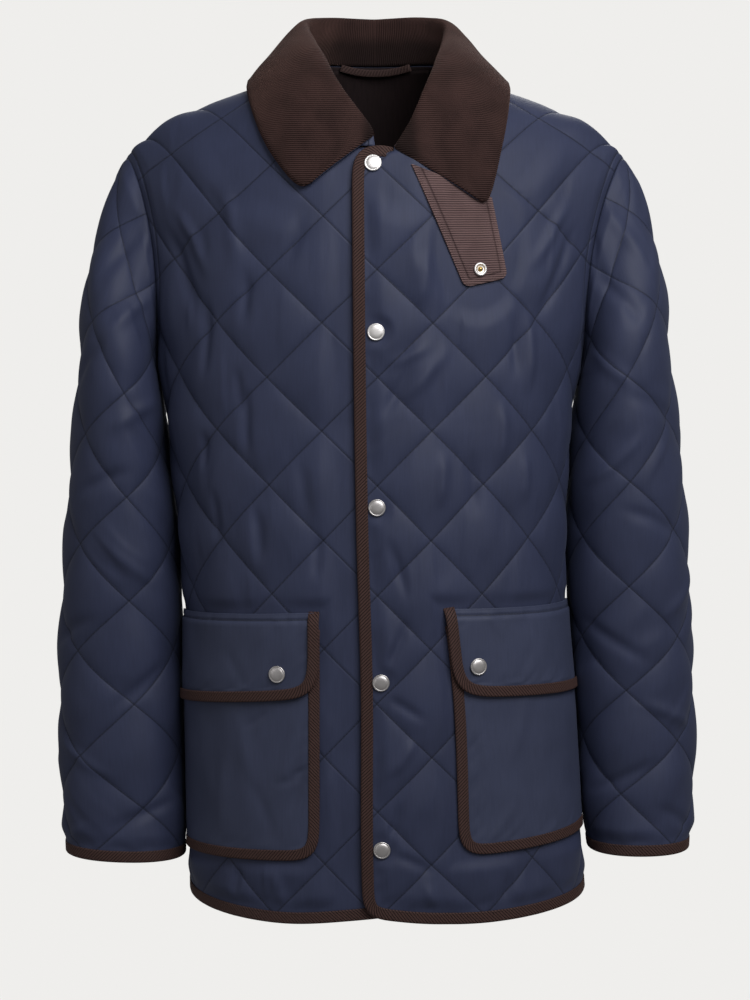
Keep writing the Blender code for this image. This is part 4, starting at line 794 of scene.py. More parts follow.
# %% A mesh from arrays
def add_piece(name, points, faces, finishes, slot, stands_for=(), inside=None, **values):
    """One object from arrays of points and faces, turned the right way out; each named array in values gives
    every point three numbers for its material. It rides on the jacket's one body."""
    points = np.ascontiguousarray(points, float).reshape(-1, 3)
    a, b, c = (np.concatenate([f[:, k] for f in faces]) for k in (0, 1, 2))
    volume = np.einsum("ij,ij->i", points[a], np.cross(points[b], points[c])).sum()
    fours = np.concatenate([f for f in faces if f.shape[1] == 4] or [np.zeros((0, 4), int)])
    volume += np.einsum("ij,ij->i", points[fours[:, 0]], np.cross(points[fours[:, 2]], points[fours[:, 3]])).sum()
    faces = [f[:, ::-1] if volume < 0 else f for f in faces]
    sizes = np.concatenate([np.full(len(f), f.shape[1]) for f in faces])
    corners = np.concatenate([f.ravel() for f in faces])
    mesh = bpy.data.meshes.new(name)
    mesh.vertices.add(len(points))
    mesh.vertices.foreach_set("co", points.ravel())
    mesh.loops.add(len(corners))
    mesh.loops.foreach_set("vertex_index", corners.astype(np.int32))
    mesh.polygons.add(len(sizes))
    mesh.polygons.foreach_set("loop_start", (np.cumsum(sizes) - sizes).astype(np.int32))
    for finish in finishes:
        mesh.materials.append(finish)
    if inside is not None:
        mesh.polygons.foreach_set("material_index", inside.astype(np.int32))
    mesh.update(calc_edges=True)
    mesh.shade_smooth()
    for key, array in values.items():
        layer = mesh.attributes.new(key, "FLOAT_VECTOR", "POINT")
        layer.data.foreach_set("vector", np.ascontiguousarray(array, np.float32).ravel())
    made = bpy.data.objects.new(name, mesh)
    bpy.context.scene.collection.objects.link(made)
    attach(made, "root")
    if stands_for:
        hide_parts(*stands_for)
    print(f"{name}: {int((sizes - 2).sum())} triangles")
    return made


# %% Closed walls
def grid_quads(rows, columns, wrap=False):
    """Four point numbers for each square of a grid; a wrapped grid joins its last column to its first."""
    i, j = np.meshgrid(np.arange(rows - 1), np.arange(columns if wrap else columns - 1), indexing="ij")
    k = (j + 1) % columns
    return np.stack([i * columns + j, i * columns + k, (i + 1) * columns + k, (i + 1) * columns + j], -1).reshape(-1, 4)


def grid_rims(rows, columns, wrap=False):
    """Point numbers along a grid's free edges: one loop, or two on a tube."""
    number = np.arange(rows * columns).reshape(rows, columns)
    if wrap:
        return [number[0], number[-1, ::-1]]
    return [np.concatenate([number[0], number[1:, -1], number[-1, -2::-1], number[-2:0:-1, 0]])]


def add_wall(name, outer, inner, finishes, slot, stands_for, wrap=False, **values):
    """A closed wall between an outer grid and every second row and column of an inner one."""
    rows, columns = outer.shape[:2]
    few = inner[::2, ::2]
    count = rows * columns
    faces = [grid_quads(rows, columns, wrap), count + grid_quads(*few.shape[:2], wrap)[:, ::-1]]
    for fine, coarse in zip(grid_rims(rows, columns, wrap), grid_rims(*few.shape[:2], wrap)):
        if wrap and fine[0] != 0:
            fine = np.roll(fine, 1)
            coarse = np.roll(coarse, 1)
        near, middle, far = fine[::2], fine[1::2], np.roll(fine[::2], -1)
        low, high = count + coarse, count + np.roll(coarse, -1)
        faces += [np.stack(three, -1) for three in ((middle, near, low), (high, middle, low), (far, middle, high))]
    inside = np.concatenate([np.full(len(f), int(len(finishes) > 1 and i == 1)) for i, f in enumerate(faces)])
    both = {key: np.concatenate([v.reshape(-1, 3), v[::2, ::2].reshape(-1, 3)]) for key, v in values.items()}
    points = np.concatenate([outer.reshape(-1, 3), few.reshape(-1, 3)])
    return add_piece(name, points, faces, finishes, slot, stands_for, inside, **both)


# %% Soft noise and placed folds
def ripple(x, y, seed):
    """Soft noise from -1 to 1: seeded heights on a square lattice, eased from one to the next."""
    table = np.random.default_rng(seed).uniform(-1, 1, (61, 67))
    i, j = np.floor(x).astype(int), np.floor(y).astype(int)
    s, t = ease(x - i), ease(y - j)
    a, b, c, d = (table[(i + m) % 61, (j + n) % 67] for m, n in ((0, 0), (1, 0), (0, 1), (1, 1)))
    return (1 - t) * ((1 - s) * a + s * b) + t * ((1 - s) * c + s * d)


def folds(flat, table):
    """The sum of placed folds: each a bell across its width that fades out along its length, on a slight curve."""
    height = np.zeros(flat.shape[:2])
    for u, v, turn, length, width, tall in table:
        c, s = np.cos(np.radians(turn)), np.sin(np.radians(turn))
        du, dv = flat[..., 0] - u, flat[..., 1] - v
        along, across = du * s + dv * c, du * c - dv * s
        across = across + 0.10 * along**2 / length
        height += tall * np.exp(-((across / width) ** 2)) * ease(1.3 - 2.6 * np.abs(along) / length)
    return height


# %% [markdown]
# ## Diamond quilting
# The wadding is held down along two sets of slanting stitch lines, and stands up between them. Its height is
# the square root of the product of two sine waves, so it leaves each line steeply and is nearly level in the
# middle. The cloth is cut longer than the wadding needs, so each diamond also has a few soft upright creases.

# %% The quilting's height
def quilting(flat, origin, seed, crease=(0.0125, 0.070, 0.0), depth=0.0019):
    """Line coordinates p and q, whole on the stitch lines, and the height from 0 there to 1 in a diamond's
    middle, less its own creases: soft noise, narrow across and long down, shifted anew in each diamond."""
    u, v = flat[..., 0], flat[..., 1]
    sway = 0.007 * ripple(u / 0.05, v / 0.05, seed)
    a, b = (u - origin[0]) / QUILT, (v - origin[1]) / QUILT
    p, q = a + b + sway, a - b + 0.007 * ripple(u / 0.06 + 9, v / 0.06, seed + 1)
    pillow = np.sqrt(np.abs(np.sin(np.pi * p) * np.sin(np.pi * q)))
    across, down, lean = crease
    shift = np.floor(p) * 3.7 + np.floor(q) * 5.3
    c, s = np.cos(lean), np.sin(lean)
    side, fall = (u * c + v * s) / across, (v * c - u * s) / down
    soft = ripple(side + shift, fall + shift * 1.7, seed + 2)
    sharp = ease((np.abs(ripple(side * 0.55 + shift, fall * 0.8 - shift, seed + 3)) - 0.45) / 0.45)
    height = PUFF * pillow + pillow * (0.0005 * soft - depth * sharp)
    return p, q, pillow, height


def carry(flat, surface, facing, height, thick, edge_way=None, lift=0.0):
    """The outer and inner grids over a form, lifted off it; edge_way gives directions and weights near a seam."""
    u, v = flat[..., 0], flat[..., 1]
    rest = surface(u, v)
    out = normals(surface, u, v, facing)
    if edge_way:
        way, weight = edge_way
        out = out + (way - out) * weight[..., None]
        out /= np.linalg.norm(out, axis=-1, keepdims=True)
    high, low = lift + height, lift + np.minimum(height, 0) - thick
    return rest + out * high[..., None], rest + out * low[..., None]


def attributes(flat, edge, p=None, q=None, pillow=None, seam=None, along=None):
    """What the materials read: place on the cut, quilting coordinates, and distance from the topstitched edge."""
    zero = np.zeros(flat.shape[:2])
    stack = lambda *parts: np.stack([zero if x is None else x for x in parts], axis=-1)
    seam = zero + 1.0 if seam is None else seam
    along = flat[..., 1] if along is None else along
    return {
        "cloth": stack(flat[..., 0], flat[..., 1], edge), "quilt": stack(p, q, pillow),
        "seam": stack(seam, along, edge)
    }


def flat_size(flat):
    """The width and length of the rectangle that a cut fits in, and the cut's own area by the shoelace sum."""
    loop = np.concatenate([flat[0], flat[1:, -1], flat[-1, -2::-1], flat[-2:0:-1, 0]])
    x, y = loop[:, 0], loop[:, 1]
    area = abs((x * np.roll(y, -1) - y * np.roll(x, -1)).sum()) / 2
    return tuple(float(s) for s in np.ptp(loop, axis=0)), float(area)

# %% [markdown]
# ## Materials
# Every finish is drawn by nodes. The patterns follow the cloth because they read the numbers that each mesh
# stores at its points, such as the place on the flat cut, in metres.

# %% Colours and one node helper
def linear(code):
    """An sRGB hex colour as linear channels."""
    channels = np.array([int(code[i : i + 2], 16) for i in (0, 2, 4)]) / 255
    return (*np.where(channels <= 0.04045, channels / 12.92, ((channels + 0.055) / 1.055) ** 2.4).tolist(), 1.0)


def node(tree, kind, inputs, output=0, **settings):
    """Adds a node with its settings; each input is a value or the socket that it is linked to."""
    made = tree.nodes.new("ShaderNode" + kind)
    for key, value in settings.items():
        setattr(made, key, value)
    for key, value in inputs.items():
        if isinstance(value, bpy.types.NodeSocket):
            tree.links.new(value, made.inputs[key])
        else:
            made.inputs[key].default_value = value
    return made.outputs[output]


def maths(tree, operation, *inputs):
    """A Math node over values or sockets, given in the order of its inputs."""
    return node(tree, "Math", dict(enumerate(inputs)), operation=operation)


def new_material(name, **shader):
    """A material, its tree and its Principled shader's inputs, with constant values set on the sockets."""
    made = bpy.data.materials.new(name)
    made.use_nodes = True
    inputs = made.node_tree.nodes["Principled BSDF"].inputs
    for key, value in shader.items():
        inputs[key.replace("_", " ")].default_value = value
    return made, made.node_tree, inputs


def stored(tree, name):
    """The three numbers that a mesh stores under this name, one socket each."""
    vector = node(tree, "Attribute", {}, "Vector", attribute_name=name)
    return node(tree, "SeparateXYZ", {0: vector}).node.outputs


def finish(tree, inputs, shade, dark, light, height):
    """Links the colour, from dark at shade 0 to light at 1, and the bump, whose height is in millimetres."""
    ramp = node(tree, "ValToRGB", {0: shade})
    ramp.node.color_ramp.elements[0].color = linear(dark)
    ramp.node.color_ramp.elements[1].color = linear(light)
    tree.links.new(ramp, inputs["Base Color"])
    bump = node(tree, "Bump", {"Height": height, "Distance": 0.001, "Strength": 1.0})
    tree.links.new(bump, inputs["Normal"])


# %% Navy polyester
# Calendered taffeta: smooth, with a soft broad shine. Its threads are far too fine to show, so what the eye gets
# is faint upright slub lines, painted shade in the stitch lines and at the edges, and the stitches, 3.2 mm long, in
# them.
LINE = QUILT / np.sqrt(2)  # between two stitch lines of one set
STITCH = 0.0032
TOPSTITCH = 0.006  # from a seam to its topstitching


def polyester(name, dark, light, quilted):
    made, tree, inputs = new_material(
        name, Roughness=0.6, Specular_IOR_Level=0.27, Sheen_Weight=0.10, Sheen_Roughness=0.45,
        Sheen_Tint=linear("8C96B4")
    )
    u, v, edge = stored(tree, "cloth")
    away, along, _ = stored(tree, "seam")
    place = node(tree, "CombineXYZ", {0: u, 1: v})
    slub = node(tree, "TexNoise", {0: node(tree, "Mapping", {0: place, 3: (700, 45, 1)}), "Scale": 1.0, "Detail": 3.0})
    cloud = node(tree, "TexNoise", {0: place, "Scale": 22.0, "Detail": 2.0})
    shade = node(tree, "MapRange", {0: slub, 1: 0.2, 2: 0.8, 3: 0.72, 4: 0.88})
    shade = maths(tree, "MULTIPLY", shade, node(tree, "MapRange", {0: cloud, 1: 0.3, 2: 0.7, 3: 0.92, 4: 1.08}))
    height = maths(tree, "MULTIPLY", slub, 0.03)
    rows = [(maths(tree, "ABSOLUTE", maths(tree, "SUBTRACT", away, TOPSTITCH)), along, 1.0)]
    if quilted:
        p, q, _ = stored(tree, "quilt")
        rows += [(maths(tree, "PINGPONG", x, 0.5), y, LINE) for x, y in ((p, q), (q, p))]
    for off, run, size in rows:
        mm = maths(tree, "MULTIPLY", off, size * 1000)
        groove = node(tree, "MapRange", {0: mm, 2: 2.4}, interpolation_type="SMOOTHSTEP")
        height = maths(tree, "MULTIPLY_ADD", groove, 0.28, height)
        # Painted shade: the colour darkens in each stitch line's groove.
        painted_line_shade = node(tree, "MapRange", {0: mm, 2: 1.2, 3: 0.40}, interpolation_type="SMOOTHSTEP")
        shade = maths(tree, "MULTIPLY", shade, painted_line_shade)
        beat = maths(tree, "PINGPONG", maths(tree, "MULTIPLY", run, size / STITCH), 0.5)
        thread = node(tree, "MapRange", {0: beat, 1: 0.12, 2: 0.20})
        thread = maths(tree, "MULTIPLY", thread, node(tree, "MapRange", {0: mm, 1: 0.28, 2: 0.45, 3: 1.0, 4: 0.0}))
        height = maths(tree, "MULTIPLY_ADD", thread, 0.28, height)
        shade = maths(tree, "MULTIPLY_ADD", thread, 0.10, shade)
    # Painted shade: the colour darkens at the cut's edges, where they go into seams and bindings.
    seam = node(tree, "MapRange", {0: edge, 2: 0.0016, 3: 0.45}, interpolation_type="SMOOTHSTEP")
    finish(tree, inputs, maths(tree, "MULTIPLY", shade, seam), dark, light, height)
    tree.links.new(node(tree, "MapRange", {0: cloud, 3: 0.54, 4: 0.64}), inputs["Roughness"])
    return made


QUILTED = polyester("quilted navy polyester taffeta", "090B12", "383E59", True)
PLAIN = polyester("plain navy polyester taffeta", "0B0D15", "40465F", False)

# %% Black lining
# A thin acetate satin, black inside the jacket, so only a dull shine shows its folds.
LINING, tree, inputs = new_material("black acetate lining", Roughness=0.75, Specular_IOR_Level=0.12)
u, v, _ = stored(tree, "cloth")
thread = node(
    tree, "TexNoise",
    {0: node(tree, "Mapping", {0: node(tree, "CombineXYZ", {0: u, 1: v}), 3: (500, 60, 1)}), "Scale": 1.0}
)
finish(tree, inputs, thread, "120C0D", "241A1B", maths(tree, "MULTIPLY", thread, 0.05))


# %% Corduroy
# Cotton velvet cut in ribs: the pile catches light along the wales' tops and at grazing angles, and the colour has
# painted shade between the wales. The wales are 2.1 mm apart; where they end at a folded edge, a painted highlight
# makes small beads.
WALE = 0.0021


def corduroy(name, dark, light, sheen):
    made, tree, inputs = new_material(
        name, Roughness=0.88, Specular_IOR_Level=0.15, Sheen_Weight=0.45, Sheen_Roughness=0.35, Sheen_Tint=linear(sheen)
    )
    across, along, edge = stored(tree, "cloth")
    away, _, _ = stored(tree, "seam")
    nap = node(tree, "TexNoise", {0: node(tree, "CombineXYZ", {0: across, 1: along}), "Scale": 650.0, "Detail": 2.0})
    rubbed = node(tree, "TexNoise", {0: node(tree, "CombineXYZ", {0: across, 1: along}), "Scale": 38.0, "Detail": 2.0})
    sway = maths(tree, "MULTIPLY", rubbed, 0.35)
    wales = maths(tree, "MULTIPLY_ADD", across, 1 / WALE, sway)
    rib = node(tree, "MapRange", {0: maths(tree, "PINGPONG", wales, 0.5), 2: 0.36}, interpolation_type="SMOOTHSTEP")
    # Painted shade: the colour is darker between the wales.
    shade = maths(
        tree, "MULTIPLY_ADD", rib, 0.55, node(tree, "MapRange", {0: rubbed, 1: 0.3, 2: 0.7, 3: 0.02, 4: 0.30})
    )
    # Painted highlight: the wales are lighter near the folded edge, as small beads.
    painted_bead_highlight = maths(tree, "MULTIPLY", rib, node(tree, "MapRange", {0: edge, 1: 0.001, 2: 0.0032, 3: 0.55, 4: 0.0}))
    shade = maths(tree, "ADD", shade, painted_bead_highlight)
    shade = maths(tree, "MULTIPLY_ADD", nap, 0.20, shade)
    height = maths(tree, "MULTIPLY_ADD", rib, 0.60, maths(tree, "MULTIPLY", nap, 0.14))
    mm = maths(tree, "MULTIPLY", maths(tree, "SUBTRACT", away, TOPSTITCH), 1000.0)
    mm = maths(tree, "ABSOLUTE", mm)
    groove = node(tree, "MapRange", {0: mm, 2: 1.3}, interpolation_type="SMOOTHSTEP")
    height = maths(tree, "MULTIPLY_ADD", groove, 0.7, height)
    # Painted shade: the colour darkens in the topstitching's groove.
    shade = maths(tree, "MULTIPLY", shade, node(tree, "MapRange", {0: groove, 3: 0.45}))
    # Painted shade: the pile is darker low in the stand, inside the neck, where the shade falls.
    neck_shade, _, _ = stored(tree, "neck_shade")
    shade = maths(tree, "MULTIPLY", shade, node(tree, "MapRange", {0: neck_shade, 3: 1.0, 4: 0.25}))
    finish(tree, inputs, shade, dark, light, height)
    return made


# One brown corduroy in two copies: the collar's is painted darker, as painted shade, and the tab's lighter, as painted
# light where the tab faces the lamps.
CORDUROY = corduroy("collar's cotton corduroy, painted darker as shade", "110A0A", "44302D", "7C5E55")
TAB_CORDUROY = corduroy("brown cotton corduroy", "35282A", "77605F", "A88C84")

# %% Twill tape
# A firm cotton and polyester tape with slanting ribs 3.1 mm apart, sold for binding edges: painted shade darkens it
# between its ribs, and it is its own redder brown on top of them.
RIB = 0.0031


def twill(name, dark, light):
    made, tree, inputs = new_material(
        name, Roughness=0.72, Specular_IOR_Level=0.25, Sheen_Weight=0.15, Sheen_Tint=linear("A07C74")
    )
    along, around, _ = stored(tree, "cloth")
    grain = node(tree, "TexNoise", {0: node(tree, "CombineXYZ", {0: along, 1: around}), "Scale": 520.0, "Detail": 2.0})
    slant = maths(tree, "MULTIPLY_ADD", around, -0.95, along)
    ribs = maths(tree, "MULTIPLY_ADD", slant, 1 / RIB, maths(tree, "MULTIPLY", grain, 0.25))
    rib = node(
        tree, "MapRange", {0: maths(tree, "PINGPONG", ribs, 0.5), 1: 0.03, 2: 0.26}, interpolation_type="SMOOTHSTEP"
    )
    # Painted shade: the colour is dark between the ribs.
    shade = maths(tree, "MULTIPLY_ADD", rib, 0.80, maths(tree, "MULTIPLY", grain, 0.25))
    height = maths(tree, "MULTIPLY_ADD", rib, 0.55, maths(tree, "MULTIPLY", grain, 0.08))
    finish(tree, inputs, shade, dark, light, height)
    return made


TAPE = twill("brown ribbed twill tape", "0D0706", "4B3531")
LOOP = twill("black-brown twill tape", "2E2122", "43322F")

# %% Sewing thread
# Spun polyester: matt and slightly hairy, so rough, with a fine noise in place of its fibres.
THREAD, tree, inputs = new_material("brown polyester thread", Roughness=0.75, Specular_IOR_Level=0.3)
fibre = node(tree, "TexNoise", {0: node(tree, "TexCoord", {}, "Object"), "Scale": 1500.0})
finish(tree, inputs, fibre, "1A1010", "4E3A36", maths(tree, "MULTIPLY", fibre, 0.05))


# %% Plated metals
# Nickel over brass, tumbled bright: a mirror with hair-fine scratches, which blur its highlights a little.
def plate(name, code, roughness):
    made, tree, inputs = new_material(name, Metallic=1.0)
    place = node(tree, "TexCoord", {}, "Object")
    worn = node(tree, "TexNoise", {0: place, "Scale": 900.0, "Detail": 3.0})
    tree.links.new(node(tree, "MapRange", {0: worn, 3: roughness - 0.06, 4: roughness + 0.10}), inputs["Roughness"])
    inputs["Base Color"].default_value = linear(code)
    tree.links.new(node(tree, "Bump", {"Height": worn, "Distance": 0.00003, "Strength": 1.0}), inputs["Normal"])
    return made


# The first nickel is painted lighter, a painted highlight for the caps in the strongest light; the second is the same
# nickel painted darker, painted shade for the caps lower down.
NICKEL = plate("nickel plate, painted lighter where lit", "F4F1F0", 0.46)
SHADED_NICKEL = plate("nickel plate, painted darker where shaded", "CFCBCB", 0.42)
BRASS = plate("turned brass", "B79A5E", 0.30)

# %% [markdown]
# ## The fronts
# Each front is cut in one piece from the hem to the shoulder. The wearer's left one laps over and is lifted a
# little. The soft folds that the photo shows are placed one by one; the noise adds the many faint ones.

# %% Placed folds, as u, v, turn in degrees, length, width and height
UNDER_TAPE = 0.006  # how far the cloth goes into its binding
FRONT_FOLDS = {
    False: [
        (-0.155, -0.075, 0, 0.085, 0.0050, -0.0016), (-0.122, -0.030, 2, 0.050, 0.0045, -0.0012),
        (-0.116, -0.115, -4, 0.060, 0.0055, -0.0016), (-0.114, 0.000, 0, 0.075, 0.0055, -0.0018),
        (-0.160, 0.025, -3, 0.040, 0.0045, -0.0012), (-0.106, 0.100, 3, 0.060, 0.0060, -0.0016),
        (-0.150, 0.085, 0, 0.060, 0.0050, -0.0012), (-0.062, 0.060, 4, 0.070, 0.0060, -0.0013),
        (-0.052, 0.120, -5, 0.050, 0.0050, -0.0013), (-0.070, -0.170, -14, 0.070, 0.0070, -0.0014),
        (-0.130, -0.180, 10, 0.090, 0.0080, 0.0018), (-0.034, -0.060, 0, 0.100, 0.0060, -0.0012),
        (-0.180, -0.130, 22, 0.100, 0.0070, -0.0020), (-0.168, -0.160, 30, 0.080, 0.0060, 0.0016),
        (-0.048, 0.330, -20, 0.055, 0.0050, 0.0014), (-0.036, 0.250, -12, 0.060, 0.0050, -0.0013),
        (-0.090, 0.425, 8, 0.040, 0.0050, 0.0012), (-0.135, 0.420, -8, 0.036, 0.0050, -0.0012),
    ],
    True: [
        (0.042, -0.130, -4, 0.060, 0.0070, 0.0018), (0.142, -0.065, 0, 0.085, 0.0060, 0.0020),
        (0.128, -0.070, 2, 0.070, 0.0050, -0.0014), (0.116, 0.010, 0, 0.070, 0.0060, 0.0018),
        (0.060, 0.050, -3, 0.060, 0.0060, 0.0016), (0.020, -0.030, -28, 0.075, 0.0055, -0.0014),
        (0.030, -0.062, -62, 0.050, 0.0050, 0.0012), (0.045, -0.045, -40, 0.080, 0.0060, 0.0014),
        (0.090, 0.055, 4, 0.070, 0.0070, -0.0014), (0.140, 0.050, -2, 0.060, 0.0060, 0.0014),
        (0.170, -0.130, -24, 0.100, 0.0065, -0.0020), (0.160, -0.165, -32, 0.080, 0.0060, 0.0016),
        (0.022, 0.130, 18, 0.070, 0.0050, -0.0014), (0.020, 0.200, -24, 0.060, 0.0045, -0.0014),
        (0.028, 0.255, 58, 0.050, 0.0045, -0.0013), (0.026, 0.300, -35, 0.050, 0.0050, 0.0014),
        (0.018, 0.360, -16, 0.050, 0.0045, -0.0014), (0.034, 0.395, 64, 0.050, 0.0045, -0.0014),
        (0.050, 0.430, 20, 0.045, 0.0050, 0.0012), (0.120, 0.425, -12, 0.040, 0.0050, -0.0012),
    ],
}


# %% Edges of a front, and its two grids
def side_line(panel, left, count=60):
    """The side seam from the hem up to the underarm, then the armhole up to the shoulder tip; the third column is
    the turn round the armhole, pi below it."""
    side = 1 if left else -1
    v = np.linspace(SIDE_HEM - TAPE_WIDTH + UNDER_TAPE, -FRONT_ARMHOLE[0, 1] * meridian(FRONT, 1.0), count)
    seam = np.stack([side * half_width(panel, left, v), v, np.full(count, np.pi)], axis=-1)
    turns = np.linspace(np.pi, 0, count + 1)[1:]
    return np.concatenate([seam, np.column_stack([armhole_flat(panel, left, turns), turns])])


def shoulder_line(panel, left):
    """The shoulder seam from the neck to the tip."""
    shares = np.linspace(NECK_SHARE, SHOULDER_TIP, 40)
    side = 1 if left else -1
    return np.stack([side * shares * half_width(panel, left, 0.0), -meridian(panel, shares)], axis=-1)


def arm_way(panel, left, outer, rows, flat):
    """Directions in the armhole's plane, and how strongly each point of a panel near it follows them."""
    turns = resample(outer, rows)[:, 2]
    way = armhole_out(left, turns if panel == BACK else 2 * np.pi - turns)
    off = off_line(armhole_flat(panel, left, np.linspace(np.pi, 0, 50)), flat)
    return way, 1 - ease(off / 0.010), off


def add_front(left, rows=297, columns=181):
    side, word = (1, "left") if left else (-1, "right")
    bound = inset(finished_edge(left), -side * (TAPE_WIDTH - UNDER_TAPE))
    outer = side_line(FRONT, left)
    bound[-1] = outer[0, :2]
    edge_u = EDGE_CORNER[left]
    corner = np.argmin(np.hypot(bound[:, 0] - edge_u, bound[:, 1] - CORNER_V))
    neck = neckline(FRONT, left, np.linspace(neck_angle(left, COLLAR_END[left]), np.pi / 2, 60))
    inner = np.concatenate([bound[: corner + 1][::-1], neck])
    flat = patch(bound[corner:], shoulder_line(FRONT, left), inner, outer, rows, columns)
    loop = np.concatenate([flat[0, ::3], flat[::3, -1], flat[-1, ::-3], flat[::-3, 0], flat[0, :1]])
    edge = off_line(loop, flat)
    taped = off_line(bound, flat)
    way, weight, arm = arm_way(FRONT, left, outer, rows, flat)
    p, q, pillow, height = quilting(flat, FRONT_NODE, 11 if left else 21)
    height += 1.9 * folds(flat, FRONT_FOLDS[left])
    calm = calm_front(left)(flat[..., 0], flat[..., 1])
    if left:
        for place in SNAPS_ON_FRONT:
            snap_u, snap_v = flat_of(front_surface(True), place)
            calm = calm * ease((np.hypot(flat[..., 0] - snap_u, flat[..., 1] - snap_v) - 0.006) / 0.012)
    beside = np.maximum(taped - UNDER_TAPE, 0)
    height *= calm * ease(np.minimum(edge, beside) / PINNED)
    along = flat[..., 1] + 0.7 * flat[..., 0]
    height += 0.0008 * calm * ripple(along / 0.008, taped / 0.05, 5) * np.exp(-beside / 0.012) * ease(beside / 0.004)
    height -= 0.0012 * (1 - ease(edge / 0.0035)) + 0.0006 * np.exp(-(((arm - TOPSTITCH) / 0.0016) ** 2))
    way = np.broadcast_to(way[:, None], (*flat.shape[:2], 3))
    grids = carry(flat, front_surface(left), FRONT, height, WALL, (way, weight))
    values = attributes(flat, edge, p, q, pillow, arm)
    made = add_wall(f"quilted_front_{word}", *grids, [QUILTED, LINING], "navy_quilted", [f"front_{word}"], **values)
    size, area = flat_size(flat)
    return size, area


EDGE_CORNER = {left: finished_edge(left)[8, 0] for left in (False, True)}
for left in (False, True):
    print("front cut:", add_front(left))

# %% [markdown]
# ## The back
# One piece from side seam to side seam. Its creases are not in the photo; they are as on the fronts.

# %% The back's grid
def add_back(rows=265, columns=269):
    right, left = side_line(BACK, False), side_line(BACK, True)
    hem_u = np.linspace(right[0, 0], left[0, 0], 81)
    hem = np.stack([hem_u, smooth(np.abs(hem_u), BACK_HEM[:, 0], BACK_HEM[:, 1]) - TAPE_WIDTH + UNDER_TAPE], axis=-1)
    hem[0], hem[-1] = right[0, :2], left[0, :2]
    turns = np.linspace(-np.pi / 2, np.pi / 2, 61)
    neck = np.array([neckline(BACK, turn > 0, abs(turn)) for turn in turns])
    top = np.concatenate([shoulder_line(BACK, False)[::-1], neck[1:-1], shoulder_line(BACK, True)])
    flat = patch(hem, top, right, left, rows, columns)
    loop = np.concatenate([flat[0, ::3], flat[::3, -1], flat[-1, ::-3], flat[::-3, 0], flat[0, :1]])
    edge = off_line(loop, flat)
    taped = off_line(hem, flat)
    ways = [arm_way(BACK, side, line, rows, flat) for side, line in ((False, right), (True, left))]
    on_left = (flat[..., 0] > 0)[..., None]
    way = np.where(on_left, ways[1][0][:, None], ways[0][0][:, None])
    weight, arm = np.maximum(ways[0][1], ways[1][1]), np.minimum(ways[0][2], ways[1][2])
    p, q, pillow, height = quilting(flat, BACK_NODE, 31)
    rng = np.random.default_rng(7)
    for u, v, turn in zip(rng.uniform(-0.2, 0.2, 34), rng.uniform(-0.25, 0.42, 34), rng.uniform(-16, 16, 34)):
        size, tall = rng.uniform(0.05, 0.10), rng.uniform(-0.0020, 0.0016)
        height += folds(flat, [(u, v, turn, size, rng.uniform(0.0045, 0.0075), tall)])
    calm = calm_back(flat[..., 0], flat[..., 1])
    beside = np.maximum(taped - UNDER_TAPE, 0)
    height *= calm * ease(np.minimum(edge, beside) / PINNED)
    height += 0.0008 * ripple(flat[..., 0] / 0.008, taped / 0.05, 6) * np.exp(-beside / 0.012) * ease(beside / 0.004)
    height -= 0.0012 * (1 - ease(edge / 0.0035)) + 0.0006 * np.exp(-(((arm - TOPSTITCH) / 0.0016) ** 2))
    grids = carry(flat, back_surface, BACK, height, WALL, (way, weight))
    made = add_wall(
        "quilted_back", *grids, [QUILTED, LINING], "navy_quilted", ["back"],
        **attributes(flat, edge, p, q, pillow, arm)
    )
    size, area = flat_size(flat)
    return size, area


print("back cut:", add_back())

# %% [markdown]
# ## The sleeves
# Each sleeve is a tube with one seam on its inner side and a set-in head. Cloth gathers where an arm bends and
# above the cuff, so the folds there run more across the sleeve than along it.

